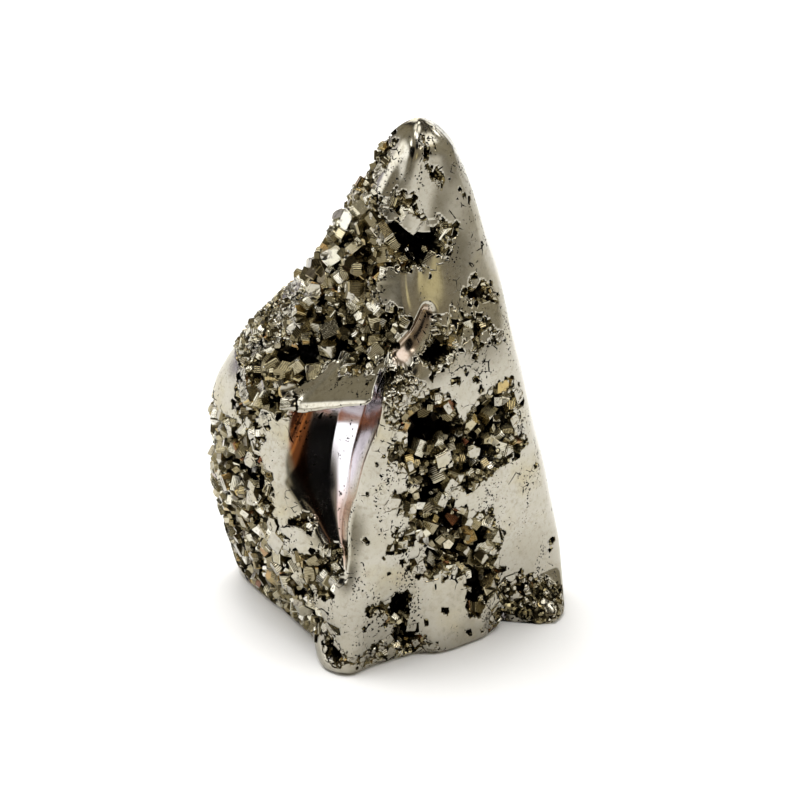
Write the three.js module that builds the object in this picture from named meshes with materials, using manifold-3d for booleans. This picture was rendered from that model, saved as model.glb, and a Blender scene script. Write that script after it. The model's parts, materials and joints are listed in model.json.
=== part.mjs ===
// A polished free-form of pyrite, about 70 mm tall, standing on its own sawn base.
//
// The mass was ground by hand to a rounded, leaning point. Hollows of the vein stay open in
// the skin, and they are full of crystals, which are the free ends of the same mass: where a
// crystal reached the skin it was ground flush with it. So the whole thing is one solid.
//
// Lengths are millimetres, +Z is up, and the flat base lies on Z = 0. Azimuths are degrees
// about the upright axis: 0 faces -Y, the side with the pocket, and 90 faces +X.

import * as THREE from "three";
import { mergeVertices } from "three/addons/utils/BufferGeometryUtils.js";
import Module from "manifold-3d";

const wasm = await Module();
wasm.setup();

// The whole mass
const HEIGHT = 69.6;
const CAP_HEIGHT = 4.2;
const AXIS_TO_BOX = new THREE.Vector2(0.97, -1.0);

// The skin is a rounded polygon of six ground faces. Each has its azimuth and, at each of
// these levels, its distance from the axis.
const LEVELS = [0, 8, 16, 24, 31, 36.5, 40.5, 47, 54, 62, 67, HEIGHT];
const FACES = [
  { name: "right", azimuth: 36,
    away: [10.6, 11.0, 11.2, 11.2, 11.0, 10.6, 9.9, 7.8, 6.2, 4.6, 3.4, 2.8] },
  { name: "right edge", azimuth: 92,
    away: [24.7, 23.4, 21.6, 19.8, 17.8, 16.2, 15.0, 13.0, 10.2, 6.8, 4.2, 3.0] },
  { name: "back", azimuth: 165,
    away: [13.5, 14.5, 15.0, 15.0, 14.5, 13.8, 13.0, 11.6, 9.8, 7.0, 4.6, 3.6] },
  { name: "back left", azimuth: 232,
    away: [25.6, 26.0, 26.4, 26.2, 24.2, 21.4, 18.7, 13.6, 10.1, 6.1, 3.9, 3.0] },
  { name: "left", azimuth: 300,
    away: [12.9, 15.6, 17.8, 18.4, 17.9, 16.2, 14.5, 10.4, 8.1, 5.0, 3.5, 3.2] },
  { name: "front left", azimuth: 327,
    away: [18.3, 17.4, 15.2, 13.2, 12.5, 12.3, 7.8, 7.1, 6.2, 5.0, 3.8, 3.2] },
];

// How sharp the corners between the faces are, which fades towards the tip from a height on
const CORNER_SHARPNESS = 12;
const TIP_SHARPNESS = 6;
const SOFT_ABOVE = 56;

const AXIS_LEAN = [0, 0, 0, 0, 0.3, 0.6, 0.8, 1.4, 2.0, 2.9, 3.4, 3.6];
const BASE_EDGE = 0.9;

// The shallow channel that runs down the front from the tip
const CHANNEL = {
  levels: [38, 44, 52, 60, 67],
  azimuth: [-8, 3, 8, 10, 7],
  depth: [0, 1.6, 2.0, 1.3, 0],
  halfWidth: [3.2, 4.0, 4.6, 4.2, 3.0],
};

// The base stands forward of the faces above it, with a notch between its front and the foot
// at its right: azimuths, how far forward at the floor, and the height where that fades out
const BASE = {
  azimuth: [-100, -84, -60, -47.5, -44, -38, -30, -20, -8, 15, 38, 55, 70, 79, 81.5, 84, 94, 99, 108, 126],
  forward: [0, -0.9, -0.9, -0.6, 3.4, 4.2, 3.5, 1.7, 0, 0.6, 2.8, 3.3, 3.2, 1.6, -0.8, 0.4, 4.2, 6.4, 4.6, 0],
  fade: [5, 5, 5, 5, 5, 5, 5, 6, 12, 15, 15, 15, 13, 9, 7.5, 6.5, 6, 5.8, 5.8, 5.8],
};

// The polished teardrop pocket, under the ledge of the front: its outline seen straight on, as
// x from the axis and z, and its flat floor, which passes through the tip, leans back and turns
// to the left
const POCKET = {
  outline: [[-6.0, 13.6], [-5.3, 16.5], [-5.3, 19.8], [-4.2, 23.5], [-3.3, 28], [-2.1, 31.5], [-1.7, 34.8],
    [-2.6, 36.2], [-4.0, 35.3], [-5.7, 34.7], [-7.6, 34.0], [-9.5, 33.4], [-11.2, 32.9], [-12.5, 33.0],
    [-12.8, 31.5], [-13.2, 28], [-12.8, 23.5], [-10.1, 19.8], [-7.9, 16.5]],
  tip: new THREE.Vector3(-6.0, -15.0, 13.7),
  lean: 31,
  azimuth: -14,
  reach: 40,
};

// Hollows full of crystals: the outline of each in the skin, as azimuth and height, how deep
// it goes, and the usual size of its crystals. A small one is a few blocks cut out of the
// skin, and a large one is sunk in it.
const HOLLOWS = [
  { name: "tip hole", small: true, depth: 1.6, crystal: 1.3,
    outline: [[2, 66.6], [16, 68], [34, 67.2], [32, 65.6], [12, 65.2]] },
  { name: "slit below the tip", small: true, depth: 1.4, crystal: 1.2,
    outline: [[16, 64.8], [38, 64.8], [66, 62.8], [62, 61.8], [40, 62.8]] },
  { name: "channel hollow", depth: 3.6, crystal: 2.2,
    outline: [[-49, 59.5], [-33, 61.2], [-8, 61.2], [6, 59.2], [27, 57.6], [64, 57], [62, 53.6], [46, 52.4],
      [24, 51.8], [0, 51.8], [-17, 52.4], [-28, 54.5]] },
  { name: "slope under the tip", depth: 1.8, crystal: 2.2,
    outline: [[-118, 67], [-62, 67], [-66, 62], [-54, 60.4], [-66, 59.2], [-118, 59.2]] },
  { name: "upper slope", depth: 3.0, crystal: 2.7,
    outline: [[-118, 59.6], [-50, 59.6], [-30, 54.5], [-18, 52.4], [-34, 49.4], [-24, 48.0], [-122, 46.0]] },
  { name: "lower slope", depth: 3.2, crystal: 2.7,
    outline: [[-122, 46.5], [-24, 48.4], [0, 48.2], [12, 46.2], [4, 43], [-5, 41.3], [-18, 39.4], [-46, 38.2],
      [-63, 38.8], [-67, 35.6], [-58, 33], [-68, 31], [-84, 32], [-96, 35], [-118, 38.5]] },
  { name: "sugary patch", small: true, depth: 1.6, crystal: 1.6,
    outline: [[-8, 40.2], [4, 39.5], [17, 38.6], [10, 36.4], [3, 33.4], [-4, 34.4], [-6, 37.5]] },
  { name: "arch", small: true, depth: 2.6, crystal: 1.8,
    outline: [[65, 47.6], [72, 49.6], [82, 49], [85, 46.6], [76, 46.4]] },
  { name: "upper right", small: true, depth: 2.4, crystal: 1.9,
    outline: [[40, 45], [51, 45.6], [65, 43.6], [78, 42.6], [77, 40.6], [64, 40.6], [46, 42.6]] },
  { name: "black hole", small: true, depth: 3.6, crystal: 1.8,
    outline: [[19, 41.6], [29, 43.2], [41, 43], [48, 41.4], [32, 40.6]] },
  { name: "right face, top", depth: 3.8, crystal: 2.4,
    outline: [[4, 36.8], [28, 36.4], [41, 37.6], [46, 33], [60, 33.2], [68, 36], [84, 35.4], [88, 25.2],
      [78, 24.4], [62, 22.8], [40, 23], [14, 26.4], [2, 28.4]] },
  { name: "right face, left", depth: 3.0, crystal: 2.2,
    outline: [[0, 25], [14, 26.4], [40, 23.4], [50, 21], [44, 19.6], [28, 18.8], [0, 20.2]] },
  { name: "right face, middle", depth: 3.4, crystal: 2.3,
    outline: [[20, 20.6], [46, 20.6], [54, 18.4], [72, 17.4], [78, 12.4], [72, 8.6], [56, 8.6], [46, 11.4],
      [24, 11.8], [12, 14.4], [22, 16.4]] },
  { name: "right face, bottom", depth: 3.0, crystal: 2.2,
    outline: [[58, 9.2], [74, 9.4], [82, 8.2], [79, 3.2], [68, 2.4]] },
  { name: "foot", depth: 1.4, crystal: 1.7,
    outline: [[74, 4.4], [80, 5.8], [86, 6.0], [91, 5.2], [96, 4.0], [101, 2.6], [100, 0.4], [76, 0.4]] },
  { name: "low hole", small: true, depth: 2.4, crystal: 1.7,
    outline: [[-8, 9], [5, 9], [13, 9.4], [9, 5], [17, 2.6], [8, 2], [-2, 2.4], [1, 6.6]] },
  { name: "base band", depth: 1.3, crystal: 1.5,
    outline: [[-17, 2.6], [-4, 3], [16, 2], [34, 1.6], [34, 0.4], [-15, 0.4]] },
  { name: "left face, top", depth: 2.2, crystal: 2.7,
    outline: [[-118, 30], [-104, 29.4], [-94, 28.4], [-84, 27.2], [-77, 24.5], [-66, 18], [-122, 18]] },
  { name: "left face, bottom", depth: 2.2, crystal: 2.7,
    outline: [[-122, 18.5], [-66, 18.5], [-57, 14.6], [-34, 15.4], [-24, 15], [-27, 10.4], [-37, 8.9],
      [-40, 7.6], [-33, 7], [-19, 5.4], [-33, 5], [-42, 3.6], [-47, 1.4], [-112, 1.4]] },
  { name: "hole by the foot", small: true, depth: 1.8, crystal: 1.2,
    outline: [[-34, 2.2], [-35, 3.8], [-30, 4.8], [-21, 3.4], [-14, 2.5], [-27, 1.7]] },
  { name: "ridge hole", small: true, depth: 1.8, crystal: 1.6,
    outline: [[-53, 19], [-47, 20.2], [-41, 19.2], [-44, 17.4], [-51, 17.8]] },
  { name: "back, high", depth: 2.6, crystal: 2.4,
    outline: [[150, 55], [172, 58], [205, 54], [212, 45], [190, 41], [160, 44]] },
  { name: "back, middle", depth: 2.8, crystal: 2.5,
    outline: [[128, 33], [150, 37], [172, 33], [178, 25], [160, 19], [136, 23]] },
  { name: "back, low", depth: 2.4, crystal: 2.4,
    outline: [[186, 19], [205, 24], [226, 21], [230, 12], [212, 6], [190, 9]] },
  { name: "back, foot", depth: 2.0, crystal: 2.0,
    outline: [[122, 9], [140, 11], [156, 7], [150, 2], [126, 2]] },
];

// Mesh fineness
const SKIN_SIDES = 44;
const SKIN_STEP = 3.3;

// Blocks and crystals stand in rows: the pitch of the blocks in millimetres and of the crystals
// as a multiple of their size, the spacing of the rows and how far a place moves, in pitches
const BLOCK_PITCH = 2.4;
const CRYSTAL_PITCH = 2.08;
const ROW_SPACING = 0.87;
const SCATTER = 0.66;

// A crystal's habit, as a multiple of its size
const CUBE_SIDE = 1.25;
const PYRITOHEDRON_RADIUS = 0.86;
const PYRITOHEDRON_SHARE = 0.06;

// A hollow takes at most this share of the way in to the axis
const SUNK_AT_MOST = 0.4;

// Crystals are ground off this far below the skin, and the patch of it over each is flat
const GROUND_BELOW = 0.2;
const PATCH = 12;

const PYRITE = new THREE.MeshStandardMaterial({ color: 0xbeb9a8, roughness: 0.22, metalness: 0.95 });

// A fixed random number from 0 to 1 for each pair of whole numbers
function chance(i, k) {
  const s = Math.sin(i * 127.1 + k * 311.7) * 43758.5453;
  return s - Math.floor(s);
}

// Smooth curve through the values at the levels, which never swings past them: cubic pieces,
// with the harmonic mean of the two neighbouring slopes at each level
function along(levels, values, z) {
  const slopes = levels.slice(1).map((v, i) => (values[i + 1] - values[i]) / (v - levels[i]));
  const atLevel = (i) => {
    if (i === 0) return slopes[0];
    if (i === levels.length - 1) return slopes[i - 1];
    const product = slopes[i - 1] * slopes[i];
    return product <= 0 ? 0 : (2 * product) / (slopes[i - 1] + slopes[i]);
  };
  let i = 0;
  while (i < levels.length - 2 && z >= levels[i + 1]) i += 1;
  const h = levels[i + 1] - levels[i];
  const t = (z - levels[i]) / h;
  return (
    (2 * t ** 3 - 3 * t ** 2 + 1) * values[i] +
    (t ** 3 - 2 * t ** 2 + t) * h * atLevel(i) +
    (3 * t ** 2 - 2 * t ** 3) * values[i + 1] +
    (t ** 3 - t ** 2) * h * atLevel(i + 1)
  );
}

// Distance of the skin from the axis: the faces blend as a high power mean, the channel is
// sunk in them, and the tip closes as a quarter ellipse
function skinRadius(azimuth, z) {
  const soft = THREE.MathUtils.clamp((z - SOFT_ABOVE) / (HEIGHT - SOFT_ABOVE), 0, 1);
  const sharpness = CORNER_SHARPNESS + (TIP_SHARPNESS - CORNER_SHARPNESS) * soft;
  let sum = 0;
  for (const face of FACES) {
    const towards = Math.max(Math.cos(THREE.MathUtils.degToRad(azimuth - face.azimuth)), 0);
    sum += (towards / along(LEVELS, face.away, z)) ** sharpness;
  }
  let radius = sum ** (-1 / sharpness);
  const { levels } = CHANNEL;
  if (z > levels[0] && z < levels[levels.length - 1]) {
    const turned = azimuth - along(levels, CHANNEL.azimuth, z);
    const off = THREE.MathUtils.euclideanModulo(turned + 180, 360) - 180;
    const x = (THREE.MathUtils.degToRad(off) * radius) / along(levels, CHANNEL.halfWidth, z);
    radius -= along(levels, CHANNEL.depth, z) * Math.exp(-x * x);
  }
  const up = THREE.MathUtils.clamp((z - (HEIGHT - CAP_HEIGHT)) / CAP_HEIGHT, 0, 1);
  return radius * Math.sqrt(1 - up * up);
}

// How far the base stands forward, fading upwards as a smooth step
function baseForward(azimuth, z) {
  const turned = THREE.MathUtils.euclideanModulo(azimuth + 180, 360) - 180;
  const around = THREE.MathUtils.clamp(turned, BASE.azimuth[0], BASE.azimuth[BASE.azimuth.length - 1]);
  const low = THREE.MathUtils.clamp(1 - z / along(BASE.azimuth, BASE.fade, around), 0, 1);
  return along(BASE.azimuth, BASE.forward, around) * low * low * (3 - 2 * low);
}

// A point of the skin, or a share of the way out to it, with the base moved forward
function skinPoint(azimuth, z, share = 1) {
  const radius = skinRadius(azimuth, z) * share;
  const a = THREE.MathUtils.degToRad(azimuth);
  return new THREE.Vector3(
    AXIS_TO_BOX.x + along(LEVELS, AXIS_LEAN, z) + radius * Math.sin(a),
    AXIS_TO_BOX.y - radius * Math.cos(a) - share * baseForward(azimuth, z),
    z,
  );
}

// The outward direction of the skin, from two short steps along it
function skinNormal(azimuth, z) {
  const sideways = skinPoint(azimuth + 0.5, z).sub(skinPoint(azimuth - 0.5, z));
  const upward = skinPoint(azimuth, z + 0.2).sub(skinPoint(azimuth, z - 0.2));
  return sideways.cross(upward).normalize();
}

// Closed three.js geometry to a solid that can be joined and cut
function solid(geometry) {
  const bare = geometry.index ? geometry.clone() : geometry;
  bare.deleteAttribute("normal");
  bare.deleteAttribute("uv");
  const merged = mergeVertices(bare, 1e-4);
  return new wasm.Manifold(
    new wasm.Mesh({
      numProp: 3,
      vertProperties: new Float32Array(merged.attributes.position.array),
      triVerts: new Uint32Array(merged.index.array),
    }),
  );
}

// How deep the skin is sunk at a place, for the large hollows
function sunk(azimuth, z) {
  const around = THREE.MathUtils.euclideanModulo(azimuth + 122, 360) - 122;
  const hollow = HOLLOWS.find(({ small, outline }) => !small && inside(outline, around, z));
  return hollow ? Math.min(hollow.depth, skinRadius(azimuth, z) * SUNK_AT_MOST) : 0;
}

// The mass: a lathe of unit radius, each point moved out to the skin, less what a hollow takes
// there. Its profile closes on the axis at the base and at the tip, and rounds the base's edge.
function massSolid() {
  const rings = [[0, 0], [0.55, 0], [0.955, 0], [0.99, BASE_EDGE * 0.3], [1, BASE_EDGE]];
  const count = Math.round((HEIGHT - CAP_HEIGHT - BASE_EDGE) / SKIN_STEP);
  for (let i = 1; i <= count; i += 1) {
    rings.push([1, BASE_EDGE + ((HEIGHT - CAP_HEIGHT - BASE_EDGE) * i) / count]);
  }
  for (const up of [0.4, 0.7, 0.9]) rings.push([1, HEIGHT - CAP_HEIGHT * (1 - up)]);
  rings.push([0, HEIGHT]);
  const profile = rings.map(([share, z]) => new THREE.Vector2(share, z));
  const lathe = new THREE.LatheGeometry(profile, SKIN_SIDES);
  const position = lathe.attributes.position;
  for (let i = 0; i < position.count; i += 1) {
    const z = position.getY(i);
    const share = Math.round(Math.hypot(position.getX(i), position.getZ(i)) * 1e4) / 1e4;
    const turned = THREE.MathUtils.radToDeg(Math.atan2(position.getX(i), position.getZ(i)));
    const azimuth = Math.round(turned * 1e6) / 1e6;
    const height = Math.min(z, HEIGHT - 1e-4);
    const place = skinPoint(azimuth, height, share);
    if (share === 1) place.addScaledVector(skinNormal(azimuth, height), -sunk(azimuth, z));
    position.setXYZ(i, place.x, place.y, place.z);
  }
  return solid(lathe);
}

// The pocket: its outline carried straight back, as far as its floor
function pocketSolid() {
  const teardrop = new THREE.Shape(POCKET.outline.map(([x, z]) => new THREE.Vector2(x, z)));
  const opening = new THREE.ExtrudeGeometry(teardrop, { depth: POCKET.reach, bevelEnabled: false });
  opening.rotateX(Math.PI / 2);
  const room = new THREE.BoxGeometry(2 * POCKET.reach, POCKET.reach, 2 * POCKET.reach);
  room.translate(0, -POCKET.reach / 2, 0);
  room.rotateX(-THREE.MathUtils.degToRad(POCKET.lean));
  room.rotateZ(THREE.MathUtils.degToRad(POCKET.azimuth));
  room.translate(POCKET.tip.x, POCKET.tip.y, POCKET.tip.z);
  const pocket = solid(opening).intersect(solid(room));
  return pocket.translate(AXIS_TO_BOX.x, AXIS_TO_BOX.y, 0);
}

// Whether a place on the skin lies inside an outline, by the crossings of a ray
function inside(outline, azimuth, z) {
  let odd = false;
  outline.forEach(([a, h], i) => {
    const [b, k] = outline[(i + 1) % outline.length];
    if (h > z !== k > z && azimuth < a + ((b - a) * (z - h)) / (k - h)) odd = !odd;
  });
  return odd;
}

// Places scattered over a hollow: rows one pitch apart, each place moved at random by up to
// a third of the pitch
function scattered(hollow, pitch, seed) {
  const azimuths = hollow.outline.map(([a]) => a);
  const heights = hollow.outline.map(([, h]) => h);
  const places = [];
  let n = 0;
  for (let z = Math.min(...heights) + pitch / 3; z < Math.max(...heights); z += pitch * ROW_SPACING) {
    let azimuth = Math.min(...azimuths);
    while (azimuth < Math.max(...azimuths)) {
      n += 1;
      const step = THREE.MathUtils.radToDeg(pitch / skinRadius(azimuth, z));
      const a = azimuth + step * (chance(n, seed) - 0.5) * SCATTER;
      const h = z + pitch * (chance(n, seed + 1) - 0.5) * SCATTER;
      if (inside(hollow.outline, a, h)) places.push({ azimuth: a, z: h, n });
      azimuth += step;
    }
  }
  return places;
}

// A closed shape, turned at random and set a depth below the skin
function shapeAt(geometry, place, depth, size, seed) {
  const turn = new THREE.Euler(
    2 * Math.PI * chance(place.n, seed + 2),
    2 * Math.PI * chance(place.n, seed + 3),
    2 * Math.PI * chance(place.n, seed + 4),
  );
  const inward = skinNormal(place.azimuth, place.z).negate();
  const centre = skinPoint(place.azimuth, place.z).addScaledVector(inward, depth);
  const stretch = new THREE.Vector3(size, size * (0.85 + 0.3 * chance(place.n, seed + 5)), size);
  const shape = geometry.clone();
  const turned = new THREE.Quaternion().setFromEuler(turn);
  shape.applyMatrix4(new THREE.Matrix4().compose(centre, turned, stretch));
  return solid(shape);
}

// The space under the skin at a place, where a patch the size of a crystal is taken as flat
function underSkin(place) {
  const normal = skinNormal(place.azimuth, place.z);
  const space = new THREE.BoxGeometry(PATCH, PATCH, PATCH);
  space.translate(0, 0, -PATCH / 2 - GROUND_BELOW);
  const upright = new THREE.Vector3(0, 0, 1);
  space.applyQuaternion(new THREE.Quaternion().setFromUnitVectors(upright, normal));
  const centre = skinPoint(place.azimuth, place.z);
  return solid(space.translate(centre.x, centre.y, centre.z));
}

// Rough blocks that open a small hollow
function hollowBlocks(hollow, index) {
  const seed = index * 20;
  const block = new THREE.BoxGeometry(1, 1, 1);
  if (!hollow.small) return [];
  return scattered(hollow, BLOCK_PITCH, seed).map((place) => {
    const size = BLOCK_PITCH * (1.1 + 0.3 * chance(place.n, seed + 6));
    return shapeAt(block, place, hollow.depth - size * 0.6, size, seed);
  });
}

// Crystals that stand on the floor of a hollow: cubes, and pyritohedra. The ones that reach
// the skin are ground flush with it.
function hollowCrystals(hollow, index) {
  const seed = index * 20 + 10;
  const cube = new THREE.BoxGeometry(CUBE_SIDE, CUBE_SIDE, CUBE_SIDE);
  const pyritohedron = new THREE.DodecahedronGeometry(PYRITOHEDRON_RADIUS);
  return scattered(hollow, hollow.crystal * CRYSTAL_PITCH, seed).map((place) => {
    const size = hollow.crystal * (0.75 + 0.5 * chance(place.n, seed + 6));
    const depth = size * 0.3 + (hollow.depth - size * 0.4) * chance(place.n, seed + 7);
    const habit = chance(place.n, seed + 8) < PYRITOHEDRON_SHARE ? pyritohedron : cube;
    return shapeAt(habit, place, Math.max(depth, 0.1), size, seed).intersect(underSkin(place));
  });
}

// The specimen: the mass less its pocket and hollows, with the crystals ground flush to it
function specimenSolid() {
  const blocks = HOLLOWS.flatMap(hollowBlocks);
  const crystals = HOLLOWS.flatMap(hollowCrystals);
  const room = new THREE.BoxGeometry(2 * HEIGHT, 2 * HEIGHT, 2 * HEIGHT);
  const aboveBase = solid(room.translate(0, 0, HEIGHT + GROUND_BELOW));
  const crust = wasm.Manifold.union(crystals).intersect(aboveBase);
  const opened = massSolid().subtract(wasm.Manifold.union(blocks)).add(crust);
  const parts = opened.subtract(pocketSolid()).decompose();
  return parts.reduce((largest, part) => (part.volume() > largest.volume() ? part : largest));
}

function meshOf(name, shape, material) {
  const { vertProperties, triVerts } = shape.getMesh();
  const geometry = new THREE.BufferGeometry();
  geometry.setAttribute("position", new THREE.BufferAttribute(vertProperties, 3));
  geometry.setIndex(new THREE.BufferAttribute(triVerts, 1));
  geometry.computeVertexNormals();
  const mesh = new THREE.Mesh(geometry, material);
  mesh.name = name;
  return mesh;
}

const specimen = new THREE.Group();
specimen.add(meshOf("pyrite_mass", specimenSolid(), PYRITE));

export default specimen;
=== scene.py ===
"""A polished free-form of pyrite: the ground and polished mass with its pocket, ledge and open
hollows, and the natural crystals that fill the hollows, many of them ground flush."""

import json
import math
from collections import namedtuple
from functools import partial

import bpy
import numpy as np
from bpy.props import FloatProperty, FloatVectorProperty, IntProperty, PointerProperty
from bpy.types import Operator, Panel, PropertyGroup
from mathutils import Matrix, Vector

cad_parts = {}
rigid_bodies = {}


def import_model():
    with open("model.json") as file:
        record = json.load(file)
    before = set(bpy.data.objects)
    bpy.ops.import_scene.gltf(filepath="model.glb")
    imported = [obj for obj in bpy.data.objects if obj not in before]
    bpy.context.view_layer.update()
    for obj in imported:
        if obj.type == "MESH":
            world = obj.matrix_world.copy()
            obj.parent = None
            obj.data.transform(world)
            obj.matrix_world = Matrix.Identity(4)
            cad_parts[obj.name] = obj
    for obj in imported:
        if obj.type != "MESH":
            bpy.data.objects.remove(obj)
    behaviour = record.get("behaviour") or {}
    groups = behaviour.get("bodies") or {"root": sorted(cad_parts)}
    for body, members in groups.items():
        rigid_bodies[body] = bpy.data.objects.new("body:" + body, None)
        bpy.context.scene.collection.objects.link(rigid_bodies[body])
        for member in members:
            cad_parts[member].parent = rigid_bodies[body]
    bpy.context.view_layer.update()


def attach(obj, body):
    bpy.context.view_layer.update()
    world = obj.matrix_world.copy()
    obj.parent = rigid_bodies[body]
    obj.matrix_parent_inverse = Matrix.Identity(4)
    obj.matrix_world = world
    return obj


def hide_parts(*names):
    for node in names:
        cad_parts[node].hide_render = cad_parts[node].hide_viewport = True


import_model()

bl_info = {
    "name": "Pyrite Specimen",
    "version": (1, 0, 0),
    "blender": (4, 5, 0),
    "location": "View3D > Sidebar > Specimen",
    "description": "Builds a polished free-form of pyrite with crystal-lined hollows",
    "category": "Add Mesh",
}

NODE = "pyrite_mass"
MM = 0.001

# The skin, in millimetres, as in the solid: heights, and the six ground faces with their
# azimuths in degrees and their distances from the axis at those heights
HEIGHT = 69.6
CAP_HEIGHT = 4.2
AXIS_TO_BOX = (0.97, -1.0)
LEVELS = np.array([0, 8, 16, 24, 31, 36.5, 40.5, 47, 54, 62, 67, HEIGHT])
FACES = (
    (36, (10.6, 11.0, 11.2, 11.2, 11.0, 10.6, 9.9, 7.8, 6.2, 4.6, 3.4, 2.8)),
    (92, (24.7, 23.4, 21.6, 19.8, 17.8, 16.2, 15.0, 13.0, 10.2, 6.8, 4.2, 3.0)),
    (165, (13.5, 14.5, 15.0, 15.0, 14.5, 13.8, 13.0, 11.6, 9.8, 7.0, 4.6, 3.6)),
    (232, (25.6, 26.0, 26.4, 26.2, 24.2, 21.4, 18.7, 13.6, 10.1, 6.1, 3.9, 3.0)),
    (300, (12.9, 15.6, 17.8, 18.4, 17.9, 16.2, 14.5, 10.4, 8.1, 5.0, 3.5, 3.2)),
    (327, (18.3, 17.4, 15.2, 13.2, 12.5, 12.3, 7.8, 7.1, 6.2, 5.0, 3.8, 3.2)),
)
CORNER_SHARPNESS, TIP_SHARPNESS, SOFT_ABOVE = 12, 6, 56.0
AXIS_LEAN = (0, 0, 0, 0, 0.3, 0.6, 0.8, 1.4, 2.0, 2.9, 3.4, 3.6)
BASE_EDGE = 0.9

# The channel down the front: heights, azimuth, depth and half width
CHANNEL_LEVELS = np.array([38, 44, 52, 60, 67])
CHANNEL_AZIMUTH = (-8, 3, 8, 10, 7)
CHANNEL_DEPTH = (0, 1.6, 2.0, 1.3, 0)
CHANNEL_HALF_WIDTH = (3.2, 4.0, 4.6, 4.2, 3.0)

# The base stands forward of the faces above it, with a notch between its front and the foot at
# its right: azimuths, how far forward at the floor, and the height over which that fades out
BASE_AZIMUTHS = np.array([-100, -84, -60, -47.5, -44, -38, -30, -20, -8, 15, 38, 55, 70, 79, 81.5, 84,
                          94, 99, 108, 126])
BASE_FORWARD = (0, -0.9, -0.9, -0.6, 3.4, 4.2, 3.5, 1.7, 0, 0.6, 2.8, 3.3, 3.2, 1.6, -0.8, 0.4,
                4.2, 6.4, 4.6, 0)
BASE_FADE = (5, 5, 5, 5, 5, 5, 5, 6, 12, 15, 15, 15, 13, 9, 7.5, 6.5, 6, 5.8, 5.8, 5.8)

# The teardrop pocket under the ledge: its two edges as azimuths at heights, the place of its
# floor at the tip from the axis, how fast the floor falls back with height, its turn and how flat
# it is. High on its right is a facet, in parts that each begin some way across, with the width,
# amount and power of its rise, and the facet comes in over some height from FACET_LOW
POCKET_HEIGHTS = np.array([13.8, 15.8, 18.0, 19.8, 21.5, 23.5, 28.0, 30.2, 34.0, 38.6])
POCKET_LEFT = (-23.5, -29, -38, -44.5, -52, -60, -64.5, -65, -63, -61)
POCKET_RIGHT = (-20.5, -20, -21, -21.5, -20.5, -18, -15, -12.5, -7.5, -5.5)
POCKET_TIP, POCKET_FALL, POCKET_POWER = -15.04, 1.22, 0.75
POCKET_TURN, POCKET_FLAT = -14, 3.4
FACET_PARTS, FACET_LOW, FACET_IN = ((0.17, 1, 0.4, 1), (0.35, 1, 0.3, 2), (0.68, 0.32, 0.54, 1.6)), 18, 12
CEILING_SLOPE, POCKET_REACH, POCKET_AT = 9.0, 1.8, ((-79, 11), (12.8, 41))

# The ledge over the pocket is one plane: a point of it from the axis, how far it comes forward to
# the right and falls back upwards per millimetre, the azimuths of its two ends and how fast it
# comes out of the skin past them, how near to the axis it goes, and the lip's thickness and
# rounding
LEDGE_POINT, LEDGE_FORWARD, LEDGE_FALL = (-5.91, -14.44, 34.0), 1.4, 2.2
LEDGE_LEFT, LEDGE_RIGHT, LEDGE_RISE, LEDGE_BACK = -56, -14, 0.012, 7.0
LIP_THICKNESS, LIP_ROUNDING = 1.6, 0.4

# Where the lip is looked for, as first, last and count of azimuths and of heights, and the
# azimuths and heights between which the mass has cuts
LIP_AZIMUTHS, LIP_HEIGHTS, CUTS_AT = (-90, 20, 221), (28, 41, 521), ((-105, 45), (10, 50))

# The tongue-shaped groove over the ledge: its two ends, half width and depth
TONGUE_LOW, TONGUE_HIGH, TONGUE_HALF_WIDTH, TONGUE_DEPTH = (2, 41.0), (29, 46.0), 1.2, 1.0

# The grid's rings: how far in the lowest starts, and how many make the base's edge and the tip
EDGE_IN, EDGE_RINGS, CAP_RINGS = 0.045, 6, 26

# The grid's rows follow the lip and its columns the pocket's edges: the heights and azimuths
# between which they move, and the azimuths and heights over which they begin to
ROW_KNOTS, LIP_LEFT, LIP_RIGHT, LIP_BLEND = (20, 36.5, 48), -92, 18, 14
COLUMN_KNOTS, EDGES_LOW, EDGES_HIGH, LEAST_HALF_WIDTH = (-112, -62, -10, 30), (5, 8.8), (47, 8), 6

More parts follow.
